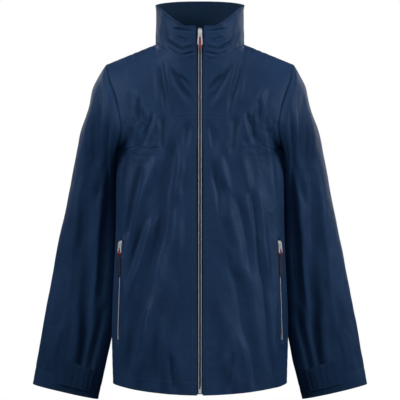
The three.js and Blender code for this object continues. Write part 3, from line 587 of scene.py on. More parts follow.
# crossing threads, a crinkled face and slow changes of shade; thread is the width of one, in metres
def wovenCloth(name, shade, light, thread, roughness, sheen, crinkle, weaveDepth):
    material, tree = startMaterial(name)
    coordinates = addNode(tree, "ShaderNodeTexCoord")
    place, flat = coordinates.outputs["Object"], coordinates.outputs["UV"]
    bands = {"Scale": 0.314 / thread, "Distortion": 0.6, "Detail": 1.0}  # a band to every thread
    waves = [addNode(tree, "ShaderNodeTexWave", {"bands_direction": way, **bands}, {"Vector": flat}) for way in "XY"]
    weave = mathNode(tree, "MULTIPLY", None, *[wave.outputs["Fac"] for wave in waves])
    creases = noise(tree, place, 55.0, 5.0, Roughness=0.62, Distortion=0.8)
    slow = noise(tree, place, 7.0, 3.0, Roughness=0.5)
    fleck = noise(tree, place, 420.0, 2.0)
    tone = mathNode(tree, "MULTIPLY_ADD", 0.45, fleck, slow)
    threads = mathNode(tree, "MULTIPLY_ADD", 0.22, weave, tone)
    ramp = addNode(tree, "ShaderNodeMapRange", {"From Min": 0.45, "From Max": 1.15}, {"Value": threads})
    crinkled = raised(tree, crinkle, 0.0022, creases)
    surfaceOf(tree, {"Sheen Weight": sheen, "Sheen Roughness": 0.4, "Sheen Tint": toLinear("#6f93c8"), "IOR": 1.45,
                     "Specular IOR Level": 0.42, "Specular Tint": toLinear("#9dbbe6")},
              between(tree, shade, light, ramp.outputs["Result"]),
              spread(tree, roughness - 0.06, roughness + 0.08, creases),
              raised(tree, weaveDepth, 0.0003, weave, Normal=crinkled))
    return material


# moulded, enamelled or spun pieces: an even colour broken by a fine grain, given in metres
def hardFinish(name, shade, light, grain, roughness, bump, coat=0.0):
    material, tree = startMaterial(name)
    place = addNode(tree, "ShaderNodeTexCoord").outputs["Object"]
    grainy = noise(tree, place, 1 / grain, 4.0, Roughness=0.6)
    wear = noise(tree, place, 90.0, 2.0)
    surfaceOf(tree, {"Metallic": 0.0, "IOR": 1.5, "Coat Weight": coat}, between(tree, shade, light, wear),
              spread(tree, roughness - 0.08, roughness + 0.1, grainy), raised(tree, bump, 0.0003, grainy))
    return material


# polyester taffeta with a proofed face: dull navy, a soft gleam along the folds
proofedTaffeta = wovenCloth("proofed navy taffeta", "#1c3557", "#2c4a73", 0.0016, 0.46, 0.16, 0.42, 0.25)
# thinner and duller taffeta inside
liningTaffeta = wovenCloth("matt lining taffeta", "#102338", "#193250", 0.0014, 0.7, 0.08, 0.25, 0.25)
# knitted polyester zip tape, coarse ribs along it
zipTapeWeave = wovenCloth("zip tape weave", "#1c2940", "#33435c", 0.0018, 0.7, 0.3, 0.1, 0.6)
# polyester sewing thread, one shade lighter than the cloth
sewingThread = hardFinish("navy sewing thread", "#2a4468", "#45628e", 0.0006, 0.6, 0.4)
# nylon coil, a greyish silver that is glossy on its crowns
coilNylon = hardFinish("silver nylon coil", "#d5dae3", "#ffffff", 0.0008, 0.3, 0.15)
# zinc die casting under white enamel
whiteEnamel = hardFinish("white enamel on zinc", "#f4f5f6", "#ffffff", 0.0012, 0.24, 0.08, coat=0.4)
# round braided cord
redBraid = hardFinish("red braided cord", "#8e1530", "#c02443", 0.0008, 0.7, 0.9)
# moulded thermoplastic rubber
mouldedRubber = hardFinish("dark moulded rubber", "#22273a", "#303750", 0.0007, 0.55, 0.35)
# hook tape and loop tape, black and hairy
hookTape = wovenCloth("black hook and loop tape", "#0c0f15", "#1c222d", 0.0018, 0.9, 0.5, 0.9, 1.0)
print("materials ready")


# pieces
handed = (("left", 1), ("right", -1))
stitch = dict(length=3.4, gap=1.1, radius=0.42, proud=0.15, ahead=0.5)
proud = 0.5  # the cloth's face stands this far outside the middle of its solid
whole = (0.012, 0.988)  # a row of stitches stops just short of the corners


def fade(u, v, wide, high, edges, over=22.0):
    total = np.ones(u.shape)
    for edge in edges:
        total *= smooth(awayFrom(edge, u, v, wide, high), 0, over)
    return total


def placePiece(thing, body, nodes=()):
    if nodes:
        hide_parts(*nodes)
    if body:
        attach(thing, body)
    return thing


# a sheet given no body is left without one of its own
def hangSheet(name, node, held, place, lift, grid, material, body="torso", **more):
    thing = makeSheet(name, place, lift, *grid, material, **more)
    placePiece(thing, body, [node])
    return thing


def stitchRow(bm, points, normals):
    run = np.concatenate([[0], np.cumsum(np.linalg.norm(np.diff(points, axis=0), axis=1))])
    count = int(run[-1] // (stitch["length"] + stitch["gap"]))
    size = Matrix.Diagonal((stitch["length"] / 2, stitch["radius"], stitch["radius"], 1))

    def sample(values, at):
        return np.array([np.interp(at, run, values[:, k]) for k in range(3)])

    for i in range(count):
        at = (i + 0.5) * run[-1] / count
        start = sample(points, at)
        along = Vector(sample(points, at + stitch["ahead"]) - start).normalized()
        side = Vector(sample(normals, at)).normalized().cross(along).normalized()
        out = along.cross(side)
        turn = Matrix((along, side, out)).transposed().to_4x4() @ Matrix.Scale(mm, 4)
        centre = Vector(metres(np.array(Vector(start) + out * stitch["proud"])))
        bmesh.ops.create_icosphere(bm, subdivisions=1, radius=1, matrix=Matrix.Translation(centre) @ turn @ size)


# rows are points and normals in millimetres, on the wearer's left
def stitchesOn(name, rows, body, mirror=1):
    bm = bmesh.new()
    for points, normals in rows:
        stitchRow(bm, points * [mirror, 1, 1], normals * [mirror, 1, 1])
    bmesh.ops.recalc_face_normals(bm, faces=bm.faces)
    return placePiece(meshPiece(name, bm, sewingThread), body)


# a line that keeps its distance from one edge of a panel
def rowAlong(panel, edge, away, start=whole[0], end=whole[1], count=240):
    place, lift, wide, high, closed = panel
    t = np.linspace(start, end, count)
    u, v = {"l": (away / wide + 0 * t, t), "r": (1 - away / wide + 0 * t, t),
            "b": (t, away / high + 0 * t), "t": (t, 1 - away / high + 0 * t)}[edge]
    base = place(u, v)
    normal = surfaceNormal(place, u, v, closed)
    return base + normal * lift(u, v, base)[:, None], normal


def rowsAlong(panel, *rows):
    return [rowAlong(panel, *row) for row in rows]


def clothLift(folds, mirror, size, fadeEdges, seams, roll, seed, extra=None, foldShare=1.8, facing=None, deepest=7.5):
    def lift(u, v, base):
        held = fade(u, v, *size, fadeEdges)
        wander = base * np.array([mirror, 1, 1])
        seen = facing(u) if facing else 1
        total = (foldLift(base, folds, mirror) * foldShare * seen + drift(wander, seed)) * held
        total = np.where(total < 0, -deepest * np.tanh(-total / deepest), total)  # a crease stays clear of the lining
        if extra:
            keep, added = extra(base)
            total = total * keep + added
        return total + seamLift(u, v, *size, seams, roll) + proud
    return lift


def frontSpot(x, z):
    x, z = matched(x, z)
    return bodyPoint(-1, girthAt(x, z), z)


# the pocket's line, and its own axes: up it, aside along the cloth and straight into it
pocketTop = frontSpot(pocket["topX"], -pocket["topDrop"])
pocketFoot = frontSpot(pocket["footX"], -pocket["footDrop"])
pocketLength = np.linalg.norm(pocketTop - pocketFoot)
pocketUp = (pocketTop - pocketFoot) / pocketLength
pocketMiddle = (pocketTop + pocketFoot) / 2
acrossPocket = [frontSpot(pocketMiddle[0] + step, pocketMiddle[2]) for step in (1, -1)]
pocketOut = np.cross(acrossPocket[0] - acrossPocket[1], pocketUp)
pocketOut /= np.linalg.norm(pocketOut)
pocketAside = np.cross(-pocketOut, pocketUp)
pocketAside /= np.linalg.norm(pocketAside)
pocketIn = np.cross(pocketUp, pocketAside)
dent = dict(slitFrom=2.4, slitTo=3.8, depth=5.0, weltAt=6.5, weltWidth=3.2, weltRise=0.7, ends=4, calm=20, rowAt=9.5)


def besidePocket(along, over):  # one along the opening, dying away past its ends
    return smooth(along, -pocketLength - over, -pocketLength) * (1 - smooth(along, 0, over))


def pocketDent(base):  # folds die away at the pocket, and the cloth parts between two welts
    offset = base - pocketTop
    side, along = offset @ pocketAside, offset @ pocketUp
    slit = 1 - smooth(np.abs(side), dent["slitFrom"], dent["slitTo"])
    welt = np.exp(-((np.abs(side) - dent["weltAt"]) / dent["weltWidth"]) ** 2) * dent["weltRise"]
    calm = 1 - np.exp(-(side / dent["calm"]) ** 2) * besidePocket(along, dent["calm"])
    return calm, (welt - dent["depth"] * slit) * besidePocket(along, dent["ends"])


# the shell
shell = dict(edgeX=5.4, roll=0.45, hemRow=26, longRow=400)
front = dict(panelSize=(178, 550), yokeSize=(178, 150), panelGrid=(84, 270), yokeGrid=(90, 84), seed=3)
back = dict(panelSize=(440, 545), yokeSize=(440, 140), panelGrid=(150, 210), yokeGrid=(170, 84), seed=9)


def sewPanel(name, node, surface, folds, cut, part, fadeEdges, seams, mirror=1, extra=None):
    size = cut[part + "Size"]
    lift = clothLift(folds, mirror, size, fadeEdges, seams, shell["roll"], cut["seed"], extra)
    hangSheet(name, node, "hung", surface, lift, cut[part + "Grid"], proofedTaffeta, mirror=mirror)
    return surface, lift, *size, False


for hand, mirror in handed:
    folds = leftFrontFolds if mirror > 0 else rightFrontFolds
    panel = sewPanel(hand + "FrontPanel", hand + "_front_panel", bodySurface(-1, frontPanelPatch(shell["edgeX"])),
                     folds, front, "panel", "lr", "lrt", mirror, pocketDent)
    top = sewPanel(hand + "FrontYoke", hand + "_front_yoke", bodySurface(-1, frontYokePatch(shell["edgeX"])),
                   folds, front, "yoke", "lrt", "lrbt", mirror)
    rows = rowsAlong(top, ("b", 3), ("b", 9), ("r", 4), ("r", 10), ("l", 4, 0.01, 0.49), ("t", 4))
    rows += rowsAlong(panel, ("l", 4), ("b", shell["hemRow"], *whole, shell["longRow"]),
                      ("r", 4, 0.02, 0.8, shell["longRow"]))
    for side in (-dent["rowAt"], dent["rowAt"]):
        along = np.linspace(dent["ends"], -pocketLength - dent["ends"], 80)
        on = pocketTop + along[:, None] * pocketUp + side * pocketAside
        points = frontSpot(on[:, 0], on[:, 2])
        rows.append((points + pocketOut * (proud + pocketDent(points)[1])[:, None],
                     np.repeat(pocketOut[None], len(along), 0)))
    stitchesOn(hand + "FrontStitches", rows, "torso", mirror)
print("fronts sewn")

panel = sewPanel("backPanel", "back_panel", bodySurface(1, backPanelPatch), backFolds, back, "panel", "lr", "lrt")
top = sewPanel("backYoke", "back_yoke", bodySurface(1, backYokePatch), backFolds, back, "yoke", "lrt", "lrbt")
stitchesOn("backStitches", rowsAlong(top, ("b", 3, *whole, shell["longRow"]), ("b", 9, *whole, shell["longRow"]),
                                     ("l", 4), ("r", 4))
           + rowsAlong(panel, ("b", shell["hemRow"], *whole, shell["longRow"])), "torso")
print("back sewn")

# the sleeve's fullness: angles round it in degrees, heights as drops below the neck point
outerEase = dict(depth=7.0, angle=45, drop=132, reach=36, low=70, high=110)  # flatter just below the shoulder
innerClose = dict(rise=2.6, angle=32, low=222, full=250, falls=330, gone=420)  # fuller just below the armpit
cuffHem = dict(rowAt=29, rowWidth=1.4, rowDepth=0.8, gathers=17, gatherAt=40, gatherWidth=16, gatherRise=0.42,
               calmAt=24, calmWidth=26, calmShare=0.75)
sleeveCut = dict(size=(330, 690), grid=(132, 300), seed=5, foldShare=1.5, deepest=5.8, liningDepth=8.5, liningTop=0.92,
                 liningGrid=(60, 90), facing=30, facingDepth=1.6, facingGrid=(96, 8))


def shoulderEase(u, base):
    outer = np.exp(-((np.abs(u - 0.5) * 360) / outerEase["angle"]) ** 2)
    level = np.exp(-((base[..., 2] + outerEase["drop"]) / outerEase["reach"]) ** 2)
    return outerEase["depth"] * outer * level * smooth(-base[..., 2], outerEase["low"], outerEase["high"])


def armpitFullness(u, base):
    inner = np.exp(-(np.minimum(u, 1 - u) * 360 / innerClose["angle"]) ** 2)
    drop = -base[..., 2]
    return (innerClose["rise"] * inner * smooth(drop, innerClose["low"], innerClose["full"])
            * (1 - smooth(drop, innerClose["falls"], innerClose["gone"])))


def bell(away, at, width):
    return np.exp(-((away - at) / width) ** 2)


def sleeveShare(distance):
    low, high = [sleevePoint(np.array([0.0, 0.5]), np.full(2, v)).mean(0) for v in (0.0, 0.01)]
    return distance * 0.01 / np.linalg.norm(low - high)


bendWay = np.array([0.93, 0, -0.37])
bendWay /= np.linalg.norm(bendWay)


def bendSleeve(thing):
    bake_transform(thing)


cuffShare = sleeveShare(1.0)  # share of the sleeve's length in one millimetre at the cuff
for hand, mirror in handed:
    lift = clothLift(sleeveFolds, 1, sleeveCut["size"], "t", "t", 0.5, sleeveCut["seed"] + mirror,
                     foldShare=sleeveCut["foldShare"], deepest=sleeveCut["deepest"],
                     facing=lambda u: 0.12 + 0.88 * np.abs(np.sin(u * 2 * np.pi)) ** 1.5)

    def sleeveLift(u, v, base, lift=lift):
        away = v * sleeveCut["size"][1]
        hemRow = -cuffHem["rowDepth"] * bell(away, cuffHem["rowAt"], cuffHem["rowWidth"])
        gather = (cuffHem["gatherRise"] * np.sin(u * 2 * np.pi * cuffHem["gathers"])
                  * bell(away, cuffHem["gatherAt"], cuffHem["gatherWidth"]))
        calm = 1 - bell(away, cuffHem["calmAt"], cuffHem["calmWidth"]) * cuffHem["calmShare"]
        return ((lift(u, v, base) - proud) * calm + proud + hemRow + gather + armpitFullness(u, base)
                - shoulderEase(u, base))

    cloth = hangSheet(hand + "Sleeve", hand + "_sleeve", "hung", sleevePoint, sleeveLift, sleeveCut["grid"],
                      proofedTaffeta, None, closed=True, mirror=mirror)
    bendSleeve(cloth)
    panel = (sleevePoint, sleeveLift, *sleeveCut["size"], True)
    rows = rowsAlong(panel, ("b", 30, 0, 1, 300), ("b", 4, 0, 1, 300))
    stitchesOn(hand + "CuffStitches", rows, hand + "_sleeve", mirror)

facingTop = sleeveCut["facing"] * cuffShare
for hand, mirror in handed:
    inner = hangSheet(hand + "SleeveLining", hand + "_sleeve_lining", "hung",
                      lambda u, v: sleevePoint(u, facingTop + (sleeveCut["liningTop"] - facingTop) * v),
                      lambda u, v, base: drift(base, 4) * 0.5 - sleeveCut["liningDepth"] - shoulderEase(u, base),
                      sleeveCut["liningGrid"], liningTaffeta, None, closed=True, mirror=mirror)
    bendSleeve(inner)
    hangSheet(hand + "CuffFacing", hand + "_cuff_facing", "folded", lambda u, v: sleevePoint(u, facingTop * v),
              lambda u, v, base: 0 * u - sleeveCut["facingDepth"], sleeveCut["facingGrid"], proofedTaffeta,
              hand + "_sleeve", closed=True, mirror=mirror)
print("sleeves hung")

# cuff tabs
tab = dict(size=(40, 30), grid=(60, 30), thickness=1.4, depth=2.3, rise=1.5, crown=0.5, ripple=0.12, corner=0.16,
           rowAt=2.2, crossRowAt=13)
patches = dict(grid=(40, 24), thickness=0.6, inset=4, above=0.6, nap=0.08, hookDepth=2.5, loopDepth=1.4)


def cuffPlace(fromAngle, toAngle, insetBy, lift):
    foot = (cuff["tabBottom"] + insetBy) * cuffShare
    head = (cuff["tabBottom"] + cuff["tabHeight"] - insetBy) * cuffShare

    def place(u, v):
        around, up = (fromAngle + (toAngle - fromAngle) * u) / 360, foot + (head - foot) * v
        out = surfaceNormal(sleevePoint, around, up, True)
        return sleevePoint(around, up) + out * np.broadcast_to(lift(u), np.shape(u))[..., None]
    return place


def tabRound(u, v, base):  # a strap with a soft crown, dying away at its edges
    along = 0.4 + 0.6 * np.sin(np.pi * np.clip(u * 0.5 + 0.5, 0, 1))
    return tab["crown"] * np.sin(np.pi * np.clip(v, 0, 1)) ** 0.5 * along + tab["ripple"] * np.sin(u * 40)


tabBand = cuffPlace(cuff["anchor"], cuff["free"], 0, lambda u: tab["depth"] + tab["rise"] * smooth(u, 0, 0.3))


def tabPlace(u, v):  # corners of the free end are cut round
    corner = smooth(u, 0.86, 1.0) ** 2 * tab["corner"]
    return tabBand(u, corner + (1 - 2 * corner) * v)


def nap(u, v, base):
    return patches["nap"] * np.sin(u * 90) * np.sin(v * 70)


for hand, mirror in handed:
    hangSheet(hand + "CuffTab", hand + "_cuff_tab", "folded", tabPlace, tabRound, tab["grid"], proofedTaffeta,
              hand + "_cuff_tab", thickness=tab["thickness"], mirror=mirror)
    rows = rowsAlong((tabPlace, tabRound, *tab["size"], False), *[(edge, tab["rowAt"], 0.04, 0.96) for edge in "lrbt"],
                     ("l", tab["crossRowAt"], 0.06, 0.94))
    stitchesOn(hand + "TabStitches", rows, hand + "_cuff_tab", mirror)
    for kind, start, end, body in (("hook", "hookFrom", "hookTo", "_cuff_tab"),
                                   ("loop", "loopFrom", "loopEnd", "_sleeve")):
        depth = patches[kind + "Depth"] + patches["above"]
        hangSheet(hand + kind.capitalize() + "Patch", hand + "_" + kind + "_patch", "laid",
                  cuffPlace(cuff[start], cuff[end], patches["inset"], lambda u, depth=depth: depth + 0 * u), nap,
                  patches["grid"], hookTape, hand + body, thickness=patches["thickness"], mirror=mirror)
print("cuffs done")


# collar
collarCut = dict(size=(560, 95), grid=(280, 64), fade=9, roll=0.5, liningSize=(520, 90), liningEdge=22.5,
                 liningBase=0.035, liningDepth=3.2, liningGrid=(160, 30), edgeRadius=1.7, edgeDrop=0.6)
collarPuckers = [
    (20, 19, 54, 25, 3.2, -1.3), (38, -20, 66, -1, 4.0, -1.9), (12, -24, 34, -30, 3.2, -1.4),
    (24, 6, 46, 13, 4.5, 0.8), (16, -7, 36, -12, 4.2, 1.0), (36, -42, 66, -26, 4.5, 1.0),
    (60, -20, 84, 34, 8, -1.2), (26, -38, 48, -42, 3.5, -1.0),
]


def collarLift(u, v, base):
    onFront = smooth(-base[..., 1], -20, 30)
    mirrored = np.abs(base[..., 0])[..., None] * np.array([1, 0, 0]) + base * np.array([0, 1, 1])
    held = fade(u, v, *collarCut["size"], "lrbt", collarCut["fade"])
    waves = foldLift(mirrored, collarPuckers) * onFront + drift(base, 12) * 0.8
    return waves * held + seamLift(u, v, *collarCut["size"], "bt", collarCut["roll"]) + proud


collarPlace = collarSurface(shell["edgeX"])
hangSheet("collarShell", "collar_shell", "folded", collarPlace, collarLift, collarCut["grid"], proofedTaffeta)
rows = rowsAlong((collarPlace, collarLift, *collarCut["size"], False), ("b", 4, 0.01, 0.99, 500),
                 ("t", 5, 0.01, 0.99, 500), ("l", 4, 0.05, 0.95), ("r", 4, 0.05, 0.95))
stitchesOn("collarStitches", rows, "torso")
hangSheet("collarLining", "collar_lining", "folded", collarSurface(collarCut["liningEdge"], collarCut["liningBase"]),
          lambda u, v, base: (drift(base, 6) * 0.5 * fade(u, v, *collarCut["liningSize"], "lrbt")
                              - collarCut["liningDepth"]), collarCut["liningGrid"], liningTaffeta)


# a rolled edge of cloth along path(v)
def rolledEdge(name, path, radius, columns, rows, material, body):
    def place(u, v):
        step = 1e-3
        along = path(np.minimum(v + step, 1)) - path(np.maximum(v - step, 0))
        along /= np.linalg.norm(along, axis=-1, keepdims=True)
        upward = np.array([0, 0, 1.0]) - along * along[..., 2:3]
        upward /= np.maximum(np.linalg.norm(upward, axis=-1, keepdims=True), 1e-6)
        side = np.cross(upward, along)
        turn = (u * 2 * np.pi)[..., None]
        return path(v) + radius * (np.cos(turn) * side + np.sin(turn) * upward)
    edge = makeSheet(name, place, lambda u, v, base: 0 * u, columns / fine, rows, material, thickness=0, closed=True)
    placePiece(edge, body)


def collarRim(v):
    return collarPlace(np.asarray(v, float), np.ones(np.shape(v))) - np.array([0, 0, collarCut["edgeDrop"]])


rolledEdge("collarEdge", collarRim, collarCut["edgeRadius"], 10, 420, proofedTaffeta, "torso")
print("collar done")

# linings, bags, hem
lining = dict(edge=24, reach=0.97, aside=0.002, inset=0.03, depth=14, frontGrid=(50, 130), backGrid=(90, 130))
bag = dict(near=62, far=148, low=-650, top=-420, depth=9.0, sag=1.0, grid=(30, 60), thickness=1.2)
hem = dict(height=28, above=4, lip=1, centreX=16, depth=2.4, ripple=0.2, grid=(320, 10))
liningFoot = -(torso["hemSideDrop"] - hem["height"] - hem["above"])


def liningSide(hand):
    across, armpit = hand * lining["reach"], -torso["armpitDrop"]
    return chain(sideLine(liningFoot, armpit, across), sideLine(armpit, tipZ, across), 0.7)


def narrowed(curve):
    return lambda t: curve(t) * np.array([lining["reach"], 1])


def inset(place):
    du, dv = lining["aside"], lining["inset"]

    def held(u, v):
        return place(du + (1 - 2 * du) * u, dv + (1 - 2 * dv) * v)
    held.normal = place.normal
    return held


def innerCloth(u, v, base):
    return drift(base, 8) * 0.9 - lining["depth"]


edge, centreTop = lining["edge"], neckZ(lining["edge"], collar["neckDrop"])
frontLining = coons(line(spot(edge, liningFoot), pair(lining["reach"], liningFoot)),
                    narrowed(shoulderEdge(neckPoint, shoulder["half"])),
                    chain(line(spot(edge, liningFoot), spot(edge, centreTop)),
                          neckEdge(edge, collar["half"], collar["neckDrop"]), 0.8), liningSide(1))
backLining = coons(levelEdge(liningFoot, lining["reach"]), narrowed(backTop), liningSide(1), liningSide(-1))
nearLow, farLow, nearTop, farTop = [spot(bag[x], bag[z]) for z in ("low", "top") for x in ("near", "far")]
bagPatch = coons(line(nearLow, farLow), line(nearTop, farTop), line(nearLow, nearTop), line(farLow, farTop))
for hand, mirror in handed:
    hangSheet(hand + "FrontLining", hand + "_front_lining", "hung", inset(bodySurface(-1, frontLining)), innerCloth,
              lining["frontGrid"], liningTaffeta, mirror=mirror)
    hangSheet(hand + "PocketBag", hand + "_pocket_bag", "hung", bodySurface(-1, bagPatch),
              lambda u, v, base: -bag["depth"] - bag["sag"] * np.sin(np.pi * u) * np.sin(np.pi * v), bag["grid"],
              liningTaffeta, thickness=bag["thickness"], mirror=mirror)
hangSheet("backLining", "back_lining", "hung", inset(bodySurface(1, backLining)), innerCloth, lining["backGrid"],
          liningTaffeta)


def hemPlace(u, v):  # once round the hem from the zip's left side to its right
    onFront = (u < 0.25) | (u > 0.75)
    hand = np.where(u < 0.5, 1, -1)
    share = np.where(onFront, np.minimum(u, 1 - u) / 0.25, (0.5 - np.abs(u - 0.5)) / 0.25 - 1)
    startZ = -torso["hemFrontDrop"] + 0 * u
    frontGirth = girthAt(hem["centreX"] + 0 * u, startZ) * (1 - share) + np.pi / 2 * share
    girth = np.where(onFront, frontGirth, np.pi / 2 * (1 - share))
    x = halfWidth(startZ) * np.sin(girth)
    lowest = np.where(onFront, hemFrontZ(np.minimum(x, torso["hemHalf"])), -torso["hemSideDrop"])
    z = lowest + hem["lip"] + v * hem["height"]
    return np.where(onFront[..., None], bodyPoint(-1, hand * girth, z), bodyPoint(1, hand * girth, z))


hangSheet("hemFacing", "hem_facing", "folded", hemPlace,
          lambda u, v, base: hem["ripple"] * np.sin(u * 160) - hem["depth"], hem["grid"], proofedTaffeta)
print("linings done")

# zip: measured along it from the collar's top; the pocket's from its own top
zipTilt = math.atan(zipper["slope"])
zipDrop = collar["frontTop"] + torso["hemFrontDrop"]
zipLength = math.hypot(zipDrop, zipDrop * zipper["slope"])
zipTop, zipFoot = -zipper["endGap"], -(zipLength - zipper["endGap"])
tape = dict(inner=0.8, outer=13.4, depth=1.8, grid=(12, 180), thickness=0.8, pocketHalf=7.4, pocketSpare=2)
coil = dict(front=-0.3, below=3.3, leftFoot=14.3, rightFoot=9.3, pocketFrom=1, pocketFoot=4, lean=-14, tooth=0.40,
            coreWidth=0.45, coreHeight=0.5, coreDepth=0.6)
pocketBack = 1.1  # the pocket's zip lies this much further in
flap = dict(half=20, top=-10, foot=2, depth=6.6, thickness=1.0, ripple=0.25)
guard = dict(half=12, low=-26, height=22, depth=8.6, crown=0.2, grid=(30, 26), thickness=1.0)


def zipSpot(x, y, z):
    x, y, z = matched(x, y, z)
    c, s = math.cos(zipTilt), math.sin(zipTilt)
    return np.stack([x, collar["frontY"] + y * c + z * s, collar["frontTop"] - y * s + z * c], axis=-1)


def pocketSpot(x, y, z):
    x, y, z = matched(x, y, z)
    return pocketTop + x[..., None] * pocketAside + y[..., None] * pocketIn + z[..., None] * pocketUp


# one side of a coil: a row of small leaning loops on a core
def coilTeeth(name, spotOf, side, top, foot, front, mirror, nodes, apart=0.7, plump=-0.2):
    bm = bmesh.new()
    pitch, width, height = zipper["toothPitch"], zipper["coilWidth"], zipper["coilHeight"]
    origin = spotOf(0, 0, 0)
    axes = [spotOf(1, 0, 0) - origin, spotOf(0, 1, 0) - origin, spotOf(0, 0, 1) - origin]
    turn = Matrix([Vector(a) for a in axes]).transposed().to_4x4() @ Matrix.Scale(mm, 4)
    lean = Matrix.Rotation(math.radians(coil["lean"] * side), 4, "Y")
    x = side * (zipper["coilGap"] / 2 + width / 2 + apart)
    size = Matrix.Diagonal((width / 2 + plump, height / 2, pitch * coil["tooth"], 1))

    def put(y, z):
        return Matrix.Translation(Vector(metres(spotOf(x, y, z)))) @ turn

    for i in range(int((top - foot) / pitch)):
        at = put(front + height / 2, top - (i + 0.5) * pitch)
        bmesh.ops.create_icosphere(bm, subdivisions=1, radius=1, matrix=at @ lean @ size)
    core = Matrix.Diagonal((width * coil["coreWidth"], height * coil["coreHeight"], top - foot, 1))
    bmesh.ops.create_cube(bm, size=1, matrix=put(front + height * coil["coreDepth"], (top + foot) / 2) @ core)
    if mirror < 0:
        bmesh.ops.scale(bm, vec=(-1, 1, 1), verts=bm.verts)
    bmesh.ops.recalc_face_normals(bm, faces=bm.faces)
    placePiece(meshPiece(name, bm, coilNylon, smoothShade=False), "torso", nodes)


def tapeSheet(name, node, spotOf, x0, x1, top, foot, depth, mirror, material=zipTapeWeave,
              thickness=tape["thickness"], ripple=0.0):
    hangSheet(name, node, "stretched", lambda u, v: spotOf(x0 + (x1 - x0) * u, depth, foot + (top - foot) * v),
              lambda u, v, base: ripple * np.sin(v * 60) * np.sin(np.pi * u), tape["grid"], material,
              thickness=thickness, mirror=mirror)


for hand, mirror in handed:
    tapeSheet(hand + "ZipTape", hand + "_zip_tape", zipSpot, tape["inner"], tape["outer"], zipTop, zipFoot,
              tape["depth"], mirror)
    coilTeeth(hand + "ZipCoil", zipSpot, 1, zipTop - coil["below"], zipFoot + coil[hand + "Foot"], coil["front"],
              mirror, [hand + "_zip_coil"])
    for side, sideName in ((1, "Outer"), (-1, "Inner")):
        coilTeeth(hand + "PocketCoil" + sideName, pocketSpot, side, -coil["pocketFrom"],
                  -pocketLength + coil["pocketFoot"], coil["front"] + pocketBack, mirror,
                  [hand + "_pocket_zip_coil"] if side > 0 else [], apart=-0.2, plump=0.2)
    tapeSheet(hand + "PocketTape", hand + "_pocket_zip_tape", pocketSpot, -tape["pocketHalf"], tape["pocketHalf"],
              tape["pocketSpare"], -pocketLength - tape["pocketSpare"], tape["depth"] + pocketBack, mirror)
tapeSheet("stormFlap", "storm_flap", zipSpot, -flap["half"], flap["half"], flap["top"], -zipLength + flap["foot"],
          flap["depth"], 1, proofedTaffeta, flap["thickness"], flap["ripple"])
hangSheet("chinGuard", "chin_guard", "folded",
          lambda u, v: zipSpot(guard["half"] * (2 * u - 1), guard["depth"], guard["low"] + guard["height"] * v),
          lambda u, v, base: guard["crown"] * np.sin(np.pi * u), guard["grid"], liningTaffeta,
          thickness=guard["thickness"])
print("zips done")


# a node's own shape, merged, with its edges broken
def finishedNode(node, material, body, bevel, segments=2):
    bm = bmesh.new()
    bm.from_mesh(bpy.data.objects[node].data)
    bmesh.ops.remove_doubles(bm, verts=bm.verts, dist=1e-6)
    bmesh.ops.dissolve_limit(bm, angle_limit=math.radians(1), verts=bm.verts, edges=bm.edges)
    thing = meshPiece(node + "_finished", bm, material, smoothShade=False)
    broken = thing.modifiers.new("broken edges", "BEVEL")
    broken.width, broken.segments = bevel * mm, segments
    broken.limit_method, broken.angle_limit = "ANGLE", math.radians(30)
    placePiece(thing, body, [node])


for node in ("left_zip_top_stop", "right_zip_top_stop", "zip_insert_pin", "zip_retainer_box"):
    finishedNode(node, coilNylon, "torso", 0.25)
for prefix in ("main_", "left_pocket_", "right_pocket_"):
    finishedNode(prefix + "slider", whiteEnamel, prefix + "slider", 0.3)
    finishedNode(prefix + "puller", whiteEnamel, prefix + "puller", 0.3)
    finishedNode(prefix + ("pull_end" if prefix == "main_" else "pull_tab"), mouldedRubber, prefix + "puller", 0.45, 3)

# cord loops: round cord through the puller's foot and the grip's eye
cordLoop = dict(radius=1.5, main=21, pocket=11, depth=2.1, tube=0.3)
slider = dict(half=6, gap=0.3, pocketGap=1, pivot=-3.7, mainPuller=26, pocketPuller=19, hole=1.6, ring=1.8,
              mainRise=8.3, pocketRise=2.3)


def makeLoop(node, length, spotOf, pivotY, topZ, body, mirror):
    bm = bmesh.new()
    bmesh.ops.create_circle(bm, segments=12, radius=cordLoop["tube"], matrix=Matrix.Translation((0, 1, 0)))
    bmesh.ops.spin(bm, geom=bm.verts[:] + bm.edges[:], cent=(0, 0, 0), axis=(1, 0, 0), angle=2 * math.pi, steps=40,
                   use_merge=True)
    bmesh.ops.remove_doubles(bm, verts=bm.verts, dist=1e-5)
    half, widen = length / 2, cordLoop["radius"] / cordLoop["tube"]
    for vert in bm.verts:
        x, y, z = vert.co
        out = math.hypot(y, z)
        cosine, sine = y / out, z / out
        swell = (out - 1) * widen
        across = math.copysign(abs(cosine) ** 0.5, cosine) * cordLoop["depth"] + cosine * swell
        place = metres(spotOf(x * widen, pivotY + across, topZ + sine * (half + swell) - half)[None])[0]
        vert.co = Vector(place * np.array([mirror, 1, 1]))
    bmesh.ops.recalc_face_normals(bm, faces=bm.faces)
    placePiece(meshPiece(node + "_braid", bm, redBraid), body, [node])


throughHole = slider["hole"] + slider["ring"]
mainSliderZ = zipTop - coil["below"] - slider["half"] - slider["gap"]
makeLoop("main_cord_loop", cordLoop["main"], zipSpot, slider["pivot"],
         mainSliderZ - slider["mainPuller"] + throughHole + slider["mainRise"], "main_puller", 1)
pocketSliderZ = -coil["pocketFrom"] - slider["half"] - slider["pocketGap"]
for hand, mirror in handed:
    makeLoop(hand + "_pocket_cord_loop", cordLoop["pocket"], pocketSpot, slider["pivot"] + pocketBack,
             pocketSliderZ - slider["pocketPuller"] + throughHole + slider["pocketRise"],
             hand + "_pocket_puller", mirror)

